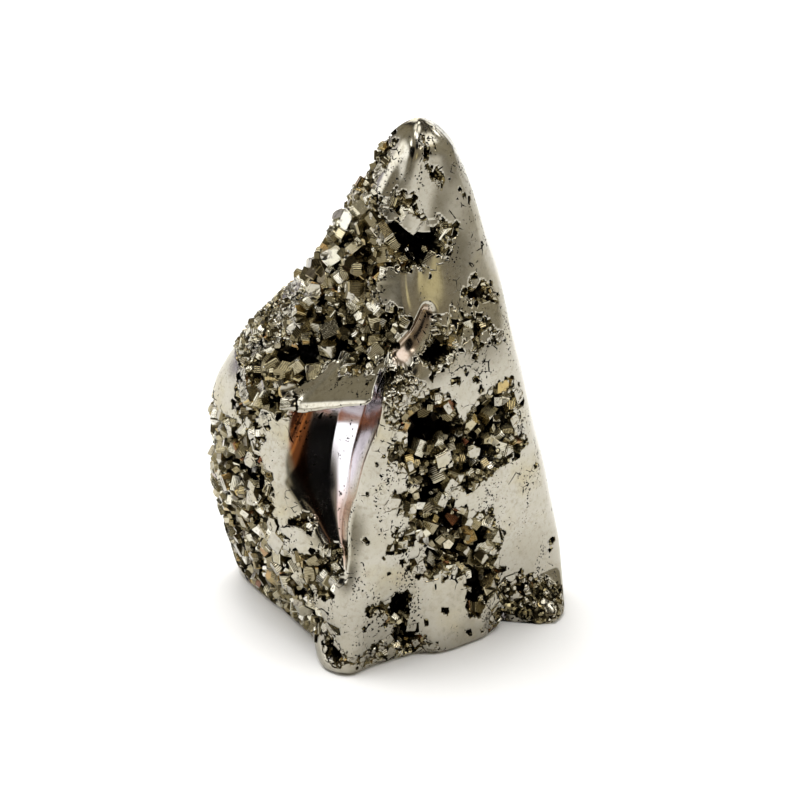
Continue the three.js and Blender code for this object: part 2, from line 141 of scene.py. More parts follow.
# Hollows: name, depth, size of the crystals, share of them that reach the skin, how far natural
# crystals stand proud of it, group of the crystals, and the outline as azimuth and height
Hollow = namedtuple("Hollow", "name depth size flush proud group outline")
HOLLOWS = tuple(Hollow(*row) for row in (
    ("tip hole", 1.6, 0.5, 0.1, 0.0, "slope",
     ((8, 67.4), (12, 66.0), (14, 65.2), (28, 65.4), (34, 66.4), (26, 67.4), (16, 67.9))),
    ("slit below the tip", 1.4, 0.5, 0.1, 0.0, "slope",
     ((18, 64.4), (38, 64.4), (62, 62.9), (60, 62.0), (42, 62.8), (24, 63.6))),
    ("channel hollow", 3.4, 1.7, 0.1, 0.0, "slope",
     ((-49, 59.5), (-33, 61.2), (-8, 61.2), (6, 59.2), (27, 57.6), (44, 57.4), (64, 57), (62, 53.6),
      (46, 52.4), (24, 51.8), (0, 51.8), (-17, 52.4), (-28, 54.5))),
    ("slope under the tip", 1.8, 1.5, 0.3, 0.3, "slope",
     ((-118, 67), (-62, 67), (-66, 62), (-54, 60.4), (-66, 59.2), (-118, 59.2))),
    ("upper slope", 3.0, 1.8, 0.04, 0.7, "slope",
     ((-118, 59.6), (-50, 59.6), (-30, 54.5), (-18, 52.4), (-34, 49.4), (-24, 48.0), (-122, 46.0))),
    ("lower slope", 3.0, 1.65, 0.04, 0.8, "slope",
     ((-91, 46.5), (-34, 48.4), (-24, 47.4), (0, 46.4), (4, 44.6), (-3, 43), (-9, 41.3), (-15, 39.3),
      (-24, 38.4), (-46, 38.2), (-56, 38.8), (-63, 38.8), (-68, 37.6), (-67, 35.6), (-58, 33),
      (-68, 31), (-84, 32), (-94, 34.5), (-90, 38.5), (-89, 42))),
    ("chain beside the ridge", 1.8, 1.2, 0.15, 0.0, "slope",
     ((-92, 34), (-82, 32.4), (-75, 30.4), (-75, 28.6), (-78, 26.6), (-84, 27.6), (-88, 30.5))),
    ("fine lump", 1.0, 0.75, 0.05, 1.4, "slope",
     ((-118, 46.4), (-96, 46.2), (-88, 43), (-88, 39.5), (-93, 36), (-104, 36.5), (-118, 39))),
    ("sugary patch", 0.7, 0.6, 0.4, 0.0, "slope",
     ((-8, 40.2), (4, 39.5), (17, 38.6), (10, 36.4), (3, 33.4), (-4, 34.4), (-6, 37.5))),
    ("arch", 2.4, 1.2, 0.2, 0.0, "right",
     ((65, 47.6), (68, 49.0), (74, 49.6), (82, 49), (86, 46.8), (83, 45.8), (76, 46.2))),
    ("upper right", 2.2, 1.5, 0.35, 0.0, "right",
     ((40, 45), (51, 45.8), (62, 44.6), (70, 44.0), (78, 43.4), (81, 41.6), (77, 40.6), (72, 42.0),
      (64, 40.6), (56, 42.0), (46, 42.8))),
    ("black hole", 3.4, 0.8, 0.0, 0.0, "right",
     ((18, 40.9), (27, 43.4), (41, 43.4), (50, 41.6), (44, 40.2), (32, 39.8))),
    ("main druse", 3.4, 1.7, 0.04, 0.0, "right",
     ((8, 37), (12, 37.5), (29, 36), (41, 36.5), (43, 33.5), (52, 31.5), (60, 33.5), (65, 34.5),
      (73, 35), (84, 35), (86, 32), (86, 29), (89, 25), (83, 24.5), (79, 25.5), (82, 23.5), (75, 23.5),
      (70, 23), (59, 22), (48, 22), (43, 20.5), (52, 19), (71, 17), (76, 14.5), (77, 12), (74, 11),
      (81, 8.5), (77, 6.5), (79, 3), (74, 2.5), (65, 4), (57, 8.5), (48, 11), (36, 10.5), (16, 12.5),
      (15, 14), (21, 16), (15, 17.5), (11, 16.5), (4, 16.5), (0, 18.5), (2, 19.5), (12, 18.5),
      (15, 20.5), (6, 22.5), (1, 23.5), (0, 25), (11, 24.5), (12, 26.5), (2, 28.5), (0, 30.5),
      (1, 32.5), (8, 33), (6, 35.5))),
    ("foot", 1.4, 1.1, 0.4, 0.1, "right",
     ((74, 4.4), (80, 5.8), (86, 6.0), (91, 5.2), (96, 4.0), (101, 2.6), (100, 0.4), (76, 0.4))),
    ("low hole", 2.2, 1.4, 0.25, 0.0, "right",
     ((-10, 8), (-1, 9.4), (5, 9.2), (14, 9.4), (10, 6.6), (9, 5), (21, 2.6), (16, 1.8), (8, 2),
      (-2, 2.4), (3, 4.4), (2, 6.4))),
    ("base band", 1.2, 1.0, 0.4, 0.0, "right",
     ((-17, 2.6), (-4, 3), (16, 2), (34, 1.8), (38, 1.0), (34, 0.4), (-15, 0.4))),
    ("left druse, top", 2.6, 1.5, 0.03, -0.5, "left",
     ((-110, 30.2), (-104, 29.4), (-94, 28.4), (-84, 27.2), (-77, 24.5), (-71, 22.5), (-66, 18), (-120, 18),
      (-113, 21.5), (-121, 24.5), (-111, 27.0))),
    ("left druse, bottom", 2.6, 1.6, 0.06, -0.2, "left",
     ((-120, 18.5), (-66, 18.5), (-62, 16.5), (-57, 14.6), (-46, 14.4), (-34, 15.4), (-30, 17),
      (-24, 15), (-25, 12), (-27, 10.4), (-37, 8.9), (-40, 7.6), (-33, 7.0), (-24, 6.6), (-19, 5.4),
      (-24, 5.0), (-33, 5.0), (-42, 3.6), (-46, 0.4), (-110, 0.4),
      (-118, 4.0), (-109, 7.5), (-120, 11.0), (-112, 15.0))),
    ("hole by the foot", 2.0, 0.7, 0.1, 0.0, "left",
     ((-34, 2.2), (-35, 3.8), (-30, 4.8), (-25, 4.6), (-21, 3.4), (-14, 2.5), (-21, 2.2), (-27, 1.7))),
    ("ridge hole", 1.6, 1.0, 0.2, 0.0, "left",
     ((-53, 19), (-47, 20.2), (-43, 19.0), (-45, 17.6), (-51, 17.8))),
    ("back, high", 2.6, 2.0, 0.3, 0.2, "back",
     ((150, 55), (160, 57), (172, 58), (190, 56), (205, 54), (212, 45), (200, 42), (190, 41),
      (176, 43), (160, 44))),
    ("back, middle", 2.8, 2.0, 0.3, 0.0, "back",
     ((128, 33), (138, 36), (150, 37), (162, 35), (172, 33), (178, 25), (170, 21), (160, 19),
      (148, 21), (136, 23))),
    ("back, low", 2.4, 2.0, 0.3, 0.0, "back",
     ((186, 19), (195, 22), (205, 24), (216, 23), (226, 21), (230, 12), (222, 8), (212, 6), (200, 7),
      (190, 9))),
    ("back, foot", 2.0, 1.6, 0.3, 0.0, "back",
     ((122, 9), (130, 11), (140, 11), (150, 9), (156, 7), (150, 2), (138, 1.6), (126, 2))),
))
SEAM = -122
SEED = 11

# The hollows' floor: the wall at the edge, the slope after it, the height of its lumps and the
# share of the radius that it may take; and how fast hollows of the slope lose light with depth
WALL, WALL_SLOPE, LUMPS, SUNK_AT_MOST = 0.5, 1.3, 0.35, 0.55
SLOPE_SHADE = 0.5

# The crystals: scale of each generation, its pitch in crystal sizes and its least depth; the share
# of each habit; and the width of an edge beside which more crystals are ground flush
GENERATIONS = ((1.0, 1.05, 0.0), (0.6, 0.8, 0.1), (0.33, 0.6, 0.3))
HABIT_SHARES = (0.2, 0.28, 0.22, 0.1, 0.2)
FLUSH_EDGE, EDGE_FLUSH, FINE_FLUSH = 1.2, 0.22, 0.2

# Rows of crystals and moves from them, in pitches; the least and added size; how far down ground
# ones lie, in their sizes; and how far the crystals are ground below the polish
ROW_PITCH, MOVED_BY, SIZE_LEAST, SIZE_MORE = 0.87, 0.66, 0.6, 0.8
DOWN_LEAST, DOWN_MORE, GRIND = 0.1, 0.7, 0.04

# How far out the faces of the pyritohedron and of the octahedron cut the cube, where a cube's
# own faces are at 1: one at a time, and both together
FIVE_CUT, EIGHT_CUT, BOTH_CUT = 1.22, 1.5, (1.25, 1.55)

# The blocks of the rims: how far apart, their least and added size, and the size of crystals
# beside which they are whole
RIM_PITCH, RIM_LEAST, RIM_MORE, RIM_USUAL = 0.8, 0.2, 0.5, 1.4

# The rounding of the rims in the skin that crystals are placed below
RIM_ROUNDING = 0.35

# Deep places in the hollows, where no light comes back: azimuth and height of the middle, half
# width and half height in millimetres, turn in degrees, and depth
DEEP = (
    (24, 31.6, 3.4, 2.4, -20, 5.0), (42, 30.8, 2.2, 1.5, 20, 4.2), (59, 32.2, 0.9, 1.5, -40, 3.0),
    (83, 25.2, 1.7, 0.5, 10, 2.6), (20, 22.2, 3.8, 0.5, -8, 3.2), (44, 18.6, 0.9, 2.4, -10, 3.6),
    (32, 15.8, 1.2, 1.3, 0, 3.2), (69, 13.0, 1.4, 0.8, -30, 3.2), (78, 8.4, 1.0, 0.6, 10, 2.4),
    (66, 7.0, 2.1, 1.8, -30, 4.6), (7, 8.0, 1.6, 1.9, 10, 3.4), (9, 3.3, 1.7, 1.1, -20, 3.2),
    (-6, 55.6, 4.0, 2.0, -28, 5.0), (16, 53.6, 2.4, 1.3, -25, 4.6), (49, 55.2, 1.6, 1.0, -10, 3.2),
    (34, 41.7, 2.3, 1.2, 6, 4.0), (57, 44.4, 1.5, 0.6, -25, 2.6), (73, 42.7, 0.7, 0.5, 0, 1.8),
    (75, 47.4, 1.5, 0.7, -20, 2.8), (20, 66.2, 0.9, 1.3, -15, 2.6), (46, 63.4, 1.7, 0.6, -32, 2.0),
    (-48, 51.6, 1.6, 0.6, 0, 2.8), (-69, 44.3, 1.4, 0.6, 15, 3.2), (-82, 39.5, 1.7, 0.5, 14, 3.0),
    (-63, 56.4, 1.2, 0.8, -20, 2.4), (-4, 45.8, 0.8, 0.8, 0, 2.6), (-40, 41.2, 1.1, 0.5, -12, 2.6),
    (-7, 39.3, 1.8, 0.5, 20, 2.2), (-83, 22.2, 0.9, 1.7, 0, 2.8), (-75, 22.0, 0.8, 1.1, 0, 2.6),
    (-82, 18.8, 0.8, 0.6, 0, 2.4), (-69, 18.0, 0.8, 0.7, 0, 2.4), (-84, 15.4, 0.8, 0.8, 0, 2.4),
    (-96, 29.6, 1.1, 0.7, 10, 2.2), (-79, 32.0, 1.1, 0.9, 0, 2.4), (-70, 12.4, 1.5, 1.1, 0, 2.4),
    (-44, 10.0, 1.6, 1.5, 0, 3.0), (-42, 13.1, 1.0, 0.5, 0, 2.2), (-28, 15.8, 0.8, 0.8, 0, 2.0),
    (-49, 19.0, 0.8, 0.7, 0, 1.8), (-28, 3.1, 1.3, 0.9, 0, 2.8), (-85, 30.4, 0.7, 0.8, 0, 2.2),
    (-57, 33.2, 0.9, 1.2, 0, 2.4),
    (165, 49, 2.4, 1.8, 20, 4.2), (192, 47, 2.0, 1.3, -10, 3.6), (152, 28, 2.4, 2.0, 0, 4.4),
    (205, 14, 2.4, 1.6, 15, 4.0), (140, 6, 1.8, 1.2, 0, 3.2),
)

# Single gaps between grains, as azimuth, height and length in millimetres, and the patch where
# grains ground flush show their gaps: azimuth, height, half width and half height
GAPS = (
    (26, 38.8, 1.2), (39.5, 39.7, 1.0), (46, 37.4, 1.3), (49, 37.0, 0.8), (62, 37.0, 1.1), (32, 36.9, 0.8),
    (65.6, 35.5, 1.2), (55, 38.4, 0.7), (25, 4.7, 0.9), (41, 5.9, 1.1), (8.8, 16.1, 1.0), (7.6, 14.3, 1.1),
    (-11.4, 18.5, 0.9), (-3.1, 15.7, 0.8), (-11.9, 6.4, 0.8), (-11.2, 24.6, 0.7), (-7.3, 28.8, 0.6),
    (-0.6, 13.4, 0.7), (70.7, 1.5, 0.8), (62, 1.8, 1.2), (92.2, 21.8, 1.2), (98, 9.4, 1.5), (97, 8.2, 0.9),
    (76.6, 60.8, 0.9), (80, 60.0, 0.7), (84.7, 59.3, 0.8), (88, 34.0, 0.7), (36, 50.5, 0.6),
)
FLUSH_PATCH = (47, 37.6, 7.5, 3.4)

# The brown of the pocket, partly a tarnished film and partly a painted reflection: how far across
# its left strip ends and its right one begins, each with the width that it fades over, the
# azimuths between which it lies, and how strong and how high the right one is; and the strength
# of the groove's, also partly a painted reflection
TARNISH_REFLECTION_LEFT, TARNISH_REFLECTION_RIGHT, TARNISH_REFLECTION_AT = (-0.36, 0.14), (0.25, 0.2), (-75, 0)
TARNISH_REFLECTION_RIGHT_AMOUNT, TARNISH_REFLECTION_RIGHT_HIGH, GROOVE_TARNISH_REFLECTION = 0.5, (25, 4), 0.3

# The lamp's place and width and the point looked at, in metres, and what gives the lens: the
# widths of the sensor and of the picture, the distance and the size of a pixel at the specimen
LAMP_PLACE, LAMP_SIZE = (-0.4, 0.3, 1.1), 1.1
LOOKED_AT = Vector((0.0013, 0.0, 0.0315))
SENSOR_MM, AWAY_MM, PICTURE_PIXELS, PIXEL_MM = 36, 320, 800, 0.130

# The light tent: strength and shade, and its parts as azimuth, elevation, angles where the patch
# is full and where it has faded out, colour and brightness
TENT_STRENGTH = 1.1
TENT_SHADE = "#8f8a7c"
TENT_PARTS = (
    (0, 24, 26, 75, "#b5aa94", 0.66),
    (90, 10, 20, 40, "#a8a18f", 0.9),
    (28, 7, 4, 11, "#d8cda4", 1.3),
    (-88, 12, 15, 25, "#ffffff", 1.9),
    (-30, 0, 8, 16, "#6f6b60", 1.0),
    (-29, 28, 16, 25, "#020202", 1.0),
    (-50, 27, 12, 19, "#020202", 1.0),
    (28, 52, 15, 27, "#0a0807", 1.0),
    (-118, 8, 13, 22, "#b3afc0", 1.1),
    (-125, 38, 12, 20, "#b5ad98", 0.72),
    (180, 62, 22, 38, "#2a241b", 1.0),
    (115, 50, 10, 18, "#3b3325", 1.0),
    (-150, 42, 8, 16, "#241f17", 1.0),
    (75, 36, 8, 14, "#ffffff", 2.2),
    (140, 28, 9, 15, "#ffffff", 2.0),
    (-165, 34, 8, 14, "#ffffff", 2.0),
    (-135, 72, 9, 15, "#ffffff", 2.0),
    (100, 72, 8, 14, "#ffffff", 2.2),
    (0, 74, 6, 11, "#ffffff", 2.4),
    (165, 8, 9, 15, "#ffffff", 1.6),
    (30, 68, 3, 7, "#ffffff", 5.5),
    (-60, 72, 3, 7, "#ffffff", 5.5),
    (60, 24, 3, 7, "#fff4e0", 5.0),
    (165, 60, 4, 9, "#ffffff", 5.0),
    (112, 34, 3, 7, "#ffffff", 5.0),
    (-175, 15, 4, 8, "#fff4e0", 5.0),
    (-70, 44, 3, 6, "#ffffff", 5.0),
)


def along(levels, values, z):
    """Smooth curve through values at levels: cubic pieces with slopes that are the harmonic
    mean of the two neighbouring slopes, or none where those differ in sign."""
    levels = np.asarray(levels, float)
    values = np.asarray(values, float)
    slope = np.diff(values) / np.diff(levels)
    product = slope[:-1] * slope[1:]
    total = slope[:-1] + slope[1:]
    inner = np.where(product > 0, 2 * product / np.where(total == 0, 1, total), 0)
    at_level = np.concatenate([slope[:1], inner, slope[-1:]])
    i = np.clip(np.searchsorted(levels, z, side="right") - 1, 0, len(levels) - 2)
    h = levels[i + 1] - levels[i]
    t = (z - levels[i]) / h
    return (
        (2 * t**3 - 3 * t**2 + 1) * values[i]
        + (t**3 - 2 * t**2 + t) * h * at_level[i]
        + (3 * t**2 - 2 * t**3) * values[i + 1]
        + (t**3 - t**2) * h * at_level[i + 1]
    )


def unit(value):
    """A value held between 0 and 1."""
    return np.clip(value, 0, 1)


def within(value, limits):
    """Where a value lies between two limits."""
    return (value > limits[0]) & (value < limits[1])


def wave(azimuth, z, around, up, start=0.0):
    """The sine of an angle that grows round the mass and upwards in steady steps."""
    return np.sin(around * np.radians(azimuth) + up * z + start)


def wrapped(azimuth):
    """The azimuth counted on from the seam at the back left, as the outlines are."""
    return (azimuth - SEAM) % 360 + SEAM


def skin_radius(azimuth, z):
    """Distance of the ground skin from the axis: the reciprocal power mean of the six faces,
    with a power that falls towards the tip, less a Gaussian channel, times a quarter ellipse
    at the tip."""
    azimuth, z = np.broadcast_arrays(np.asarray(azimuth, float), np.asarray(z, float))
    total = 0
    soft = unit((z - SOFT_ABOVE) / (HEIGHT - SOFT_ABOVE))
    power = CORNER_SHARPNESS + (TIP_SHARPNESS - CORNER_SHARPNESS) * soft
    for face_azimuth, away in FACES:
        towards = np.maximum(np.cos(np.radians(azimuth - face_azimuth)), 0)
        total = total + (towards / along(LEVELS, away, z)) ** power
    radius = total ** (-1 / power)
    zc = np.clip(z, CHANNEL_LEVELS[0], CHANNEL_LEVELS[-1])
    off = (azimuth - along(CHANNEL_LEVELS, CHANNEL_AZIMUTH, zc) + 180) % 360 - 180
    x = np.radians(off) * radius / along(CHANNEL_LEVELS, CHANNEL_HALF_WIDTH, zc)
    depth = np.where(zc == z, along(CHANNEL_LEVELS, CHANNEL_DEPTH, zc), 0)
    radius = radius - depth * np.exp(-x * x)
    up = unit((z - (HEIGHT - CAP_HEIGHT)) / CAP_HEIGHT)
    return radius * np.sqrt(1 - up * up)


def base_forward(azimuth, z):
    """How far the base stands forward at an azimuth and height: the most at the floor, and
    fading upwards as a smooth step."""
    azimuth = np.clip((azimuth + 180) % 360 - 180, BASE_AZIMUTHS[0], BASE_AZIMUTHS[-1])
    low = unit(1 - z / along(BASE_AZIMUTHS, BASE_FADE, azimuth))
    return along(BASE_AZIMUTHS, BASE_FORWARD, azimuth) * low * low * (3 - 2 * low)


def placed(azimuth, z, radius, share=1.0):
    """Point at a distance from the leaning axis, with the base moved forward."""
    a = np.radians(azimuth)
    x = AXIS_TO_BOX[0] + along(LEVELS, AXIS_LEAN, z) + radius * np.sin(a)
    y = AXIS_TO_BOX[1] - radius * np.cos(a) - share * base_forward(azimuth, z)
    return np.stack([x, y, z + 0 * radius], -1)


def skin_point(azimuth, z):
    """Point of the ground skin: the skin's radius, placed."""
    return placed(azimuth, z, skin_radius(azimuth, z))


def skin_normal(azimuth, z):
    """Outward direction of the skin, from two short steps along it."""
    z = np.minimum(z, HEIGHT - 0.3)
    sideways = skin_point(azimuth + 0.5, z) - skin_point(azimuth - 0.5, z)
    upward = skin_point(azimuth, z + 0.2) - skin_point(azimuth, z - 0.2)
    normal = np.cross(sideways, upward)
    return normal / np.linalg.norm(normal, axis=-1, keepdims=True)


def degree_length(azimuth, z):
    """Millimetres in a degree round the skin: the radius times one degree in radians."""
    return np.radians(1) * np.maximum(skin_radius(azimuth, z), 1)


def arc_length(path):
    """Way along a line of points to each of them: the sum of its steps so far."""
    return np.concatenate([[0], np.cumsum(np.linalg.norm(np.diff(path, axis=0), axis=1))])


def off_line(x, y, ex, ey):
    """Distance of a point from its foot on the line between the origin and an end."""
    t = unit((x * ex + y * ey) / (ex * ex + ey * ey))
    return np.hypot(x - t * ex, y - t * ey)


def drift(azimuth, z):
    """How far an outline wanders, in millimetres: two slow waves each way."""
    sideways = 0.45 * wave(azimuth, z, 9, 0.9) + 0.3 * wave(azimuth, z, 23, -1.9, 1.0)
    upward = 0.4 * wave(azimuth, z, 11, -1.1, 2.0) + 0.3 * wave(azimuth, z, 19, 2.3)
    return sideways, upward


def edge_distance(outline, azimuth, z):
    """Distance in millimetres to the edge of an outline on the skin, positive inside it: the
    least over its sides, with the sign from an odd count of sides crossed."""
    per_degree = degree_length(azimuth, z)
    sideways, upward = drift(azimuth, z)
    az = azimuth + sideways / per_degree
    up = z + upward
    corners = np.array(outline, float)
    nearest = np.full(np.shape(az), 1e9)
    odd = np.zeros(np.shape(az), bool)
    for (a, h), (b, k) in zip(corners, np.roll(corners, -1, axis=0)):
        ex, ey = (b - a) * per_degree, k - h
        nearest = np.minimum(nearest, off_line((az - a) * per_degree, up - h, ex, ey))
        if h != k:
            crosses = (h > up) != (k > up)
            odd ^= crosses & (az < a + (b - a) * (up - h) / (k - h))
    return np.where(odd, nearest, -nearest)


def deep_sink(azimuth, z):
    """Depth of the deep places: ellipses on the skin with a steep wall and a rounded floor."""
    per_degree = degree_length(azimuth, z)
    sideways, upward = drift(azimuth, z)
    sink = np.zeros(np.shape(azimuth))
    for middle, height, half_width, half_height, turned, depth in DEEP:
        x = ((azimuth - middle + 180) % 360 - 180) * per_degree + 0.6 * sideways
        y = z - height + 0.6 * upward
        c, s = math.cos(math.radians(turned)), math.sin(math.radians(turned))
        off = np.hypot((x * c + y * s) / half_width, (y * c - x * s) / half_height)
        sink = np.maximum(sink, depth * unit(2.2 * (1.15 - off)))
    return sink


def hollow_sink(azimuth, z):
    """Depth of the hollows' floor below the skin: a short wall at the edge, then a steady slope
    to the full depth, with a lumpy floor, and the deep places in it."""
    around = wrapped(azimuth)
    lumps = LUMPS * wave(azimuth, z, 31, 1.9) * wave(azimuth, z, -37, 2.7)
    sink = np.zeros(np.shape(azimuth))
    for hollow in HOLLOWS:
        inner = edge_distance(hollow.outline, around, z)
        here = np.minimum(hollow.depth, WALL + WALL_SLOPE * inner) + lumps * unit(inner)
        sink = np.where(inner > 0, np.maximum(sink, here), sink)
    sink = np.where(sink > 0, np.maximum(sink, deep_sink(azimuth, z)), sink)
    return np.minimum(sink, SUNK_AT_MOST * skin_radius(azimuth, z))


def proud_level(azimuth, z):
    """How far natural crystals may stand proud of the ground skin: nothing at a hollow's edge
    and where the wheel reached in, given by two slow waves."""
    around = wrapped(azimuth)
    missed = unit(1.4 + 1.6 * wave(around, z, 9, 0.83) * wave(around, z, -13, 0.61, 1.0))
    level = np.zeros(np.shape(azimuth))
    for hollow in HOLLOWS:
        if hollow.proud > 0:
            inner = edge_distance(hollow.outline, around, z)
            level = np.maximum(level, unit(inner / 0.8) * (hollow.proud + 0.5) * missed)
    return level


def hollow_nearness(azimuth, z):
    """One inside and at the edge of a hollow, falling off over 2.5 mm outside it, and more where
    grains ground flush show their gaps."""
    around = wrapped(azimuth)
    outside = np.full(np.shape(azimuth), 50.0)
    for hollow in HOLLOWS:
        outside = np.minimum(outside, -edge_distance(hollow.outline, around, z))
    middle, height, half_width, half_height = FLUSH_PATCH
    off = np.hypot(np.radians(azimuth - middle) * skin_radius(azimuth, z) / half_width,
                   (z - height) / half_height)
    return np.maximum(np.exp(-np.maximum(outside, 0) / 2.5), 1.6 * unit(3 - 3 * off))


def softer_of(first, second, rounding):
    """The smaller of two distances, rounded where they cross by an exponential mean."""
    return -rounding * np.logaddexp(-first / rounding, -second / rounding)


def ledge_radius(azimuth, z):
    """Distance of the ledge's plane from the axis, over the lip. Past each end of the ledge it
    comes out of the skin as the square of the way."""
    a = np.radians(azimuth)
    x, y, level = LEDGE_POINT
    to_axis = along(LEVELS, AXIS_LEAN, z) - x
    depth = -y + LEDGE_FORWARD * to_axis - LEDGE_FALL * (z - level)
    flat = depth / np.maximum(np.cos(a) - LEDGE_FORWARD * np.sin(a), 0.2)
    past = np.maximum(LEDGE_LEFT - azimuth, 0) + np.maximum(azimuth - LEDGE_RIGHT, 0)
    return np.maximum(flat, LEDGE_BACK) + LEDGE_RISE * past**2


def lip_of_ledge():
    """Azimuths along the ledge and the lowest height at each where it lies under the skin."""
    azimuths, heights = np.linspace(*LIP_AZIMUTHS), np.linspace(*LIP_HEIGHTS)
    az, z = np.meshgrid(azimuths, heights)
    cut = ledge_radius(az, z) < skin_radius(az, z)
    found = cut.any(axis=0)
    return azimuths[found], heights[np.argmax(cut, axis=0)[found]]


LIP = lip_of_ledge()


def lip_height(azimuth):
    """Height of the lip, where the ledge meets the skin."""
    return np.interp(azimuth, *LIP)


def pocket_edges(z):
    """Points of the skin on the pocket's left and right edges at a height."""
    z = np.clip(z, POCKET_HEIGHTS[0], POCKET_HEIGHTS[-1])
    return [skin_point(along(POCKET_HEIGHTS, edge, z), z) for edge in (POCKET_LEFT, POCKET_RIGHT)]


def pocket_across(x, z):
    """Way across the pocket, from -1 at its left edge to 1 at its right, and its middle."""
    left, right = pocket_edges(z)
    middle = (left[..., 0] + right[..., 0]) / 2
    return (x - middle) / np.maximum((right[..., 0] - left[..., 0]) / 2, 0.2), middle


def pocket_sink(azimuth, z, radius, rounding):
    """How far the pocket's wall lies behind the skin, straight back. Its floor falls back from
    the tip as a power of the height. On each side it comes forward to the skin at that edge as a
    power of the way across, and high on the right as a facet that is a sum of powers. A steep
    ceiling closes it under the lip, and its rim is rounded by an exponential mean."""
    here = placed(azimuth, z, radius)
    left, right = pocket_edges(z)
    across, middle = pocket_across(here[..., 0], z)
    edge = np.where(across < 0, left[..., 1], right[..., 1])
    high = unit((z - FACET_LOW) / FACET_IN)
    up = np.maximum(z - POCKET_HEIGHTS[0], 0)
    floor = AXIS_TO_BOX[1] + POCKET_TIP + POCKET_FALL * up**POCKET_POWER
    floor = floor + math.tan(math.radians(POCKET_TURN)) * (here[..., 0] - middle)
    facet = sum(rise * (np.maximum(across - start, 0) / width) ** power
                for start, width, rise, power in FACET_PARTS)
    way = np.abs(across) ** POCKET_FLAT
    wall = floor - np.maximum(floor - edge, 0.2) * np.where(across < 0, way, way + (facet - way) * high)
    ceiling = lip_height(azimuth) - LIP_THICKNESS
    wall = wall - CEILING_SLOPE * np.maximum(z - ceiling, 0)
    rounding = rounding * (1 + unit(across - 0.3) * high)
    sink = rounding * np.logaddexp(0, (wall - here[..., 1]) / rounding)
    inside = (np.abs(across) < POCKET_REACH) & within(z, (POCKET_HEIGHTS[0] - 1, POCKET_HEIGHTS[-1] + 1))
    return np.where(inside, sink, 0)


def tongue_off(azimuth, z):
    """Distance from the line between the tongue's two ends, in half widths."""
    (a0, z0), (a1, z1) = TONGUE_LOW, TONGUE_HIGH
    per_degree = degree_length(np.full(1, (a0 + a1) / 2), np.full(1, (z0 + z1) / 2))[0]
    off = off_line((azimuth - a0) * per_degree, z - z0, (a1 - a0) * per_degree, z1 - z0)
    return off / TONGUE_HALF_WIDTH


def tongue_radius(azimuth, z, radius):
    """A groove with round ends: one less the cube of the way across."""
    off = tongue_off(azimuth, z)
    return np.where(off < 2, radius - TONGUE_DEPTH * (1 - off**3), radius + 9)


def polished_radius(azimuth, z, rim):
    """The ground skin with its ledge and tongue, each cut rounded over its rim, and the slight
    waves of hand polishing."""
    azimuth, z = np.broadcast_arrays(np.asarray(azimuth, float), np.asarray(z, float))
    radius = skin_radius(azimuth, z)
    waves = 0.05 * wave(azimuth, z, 5, 0.31) + 0.04 * wave(azimuth, z, 9, -0.47, 1.3)
    near = within(azimuth, CUTS_AT[0]) & within(z, CUTS_AT[1])
    a, h, r = azimuth[near], z[near], radius[near]
    radius = radius.copy()
    radius[near] = softer_of(softer_of(r, ledge_radius(a, h), LIP_ROUNDING), tongue_radius(a, h, r), rim)
    return radius + waves * unit((HEIGHT - z) / 6)


def polished_point(azimuth, z, radius, share, rim):
    """Point of the skin at a radius, moved straight back where the pocket is."""
    points = placed(azimuth, z, radius * share, share)
    near = within(azimuth, POCKET_AT[0]) & within(z, POCKET_AT[1])
    points[..., 1][near] += pocket_sink(azimuth[near], z[near], radius[near], rim)
    return points


def mesh_piece(name, points, polygons, sizes, smooth):
    """A mesh from points in metres, a flat list of corners and the corner count of each face."""
    mesh = bpy.data.meshes.new(name)
    mesh.vertices.add(len(points))
    mesh.vertices.foreach_set("co", np.ascontiguousarray(points, np.float32).ravel())
    mesh.loops.add(len(polygons))
    mesh.loops.foreach_set("vertex_index", np.ascontiguousarray(polygons, np.int32))
    starts = np.concatenate([[0], np.cumsum(sizes)[:-1]])
    mesh.polygons.add(len(sizes))
    mesh.polygons.foreach_set("loop_start", np.ascontiguousarray(starts, np.int32))
    mesh.polygons.foreach_set("use_smooth", np.full(len(sizes), smooth))
    mesh.update(calc_edges=True)
    piece = bpy.data.objects.new(name, mesh)
    bpy.context.scene.collection.objects.link(piece)
    return piece


def ring_heights(step):
    """Share of the way out and height of each ring, from the base's rounded edge to just
    under the tip."""
    t = np.linspace(0, math.pi / 2, EDGE_RINGS)
    edge = np.stack([1 - EDGE_IN + EDGE_IN * np.sin(t), BASE_EDGE * (1 - np.cos(t))], 1)
    body = np.arange(BASE_EDGE + step, HEIGHT - CAP_HEIGHT, step)
    up = np.sin(np.linspace(0, math.pi / 2, CAP_RINGS)[:-1])
    cap = HEIGHT - CAP_HEIGHT * (1 - up)
    rest = np.concatenate([body, cap])
    return np.vstack([edge, np.stack([np.ones(len(rest)), rest], 1)])


def stretched(value, knots, moved):
    """Moves values between knots in straight pieces, where the knots themselves move."""
    moved = np.broadcast_arrays(*[np.asarray(m, float) + 0 * value for m in moved])
    result = value
    for i in range(len(knots) - 1):
        t = (value - knots[i]) / (knots[i + 1] - knots[i])
        here = (t >= 0) & (t <= 1)
        result = np.where(here, moved[i] + t * (moved[i + 1] - moved[i]), result)
    return result


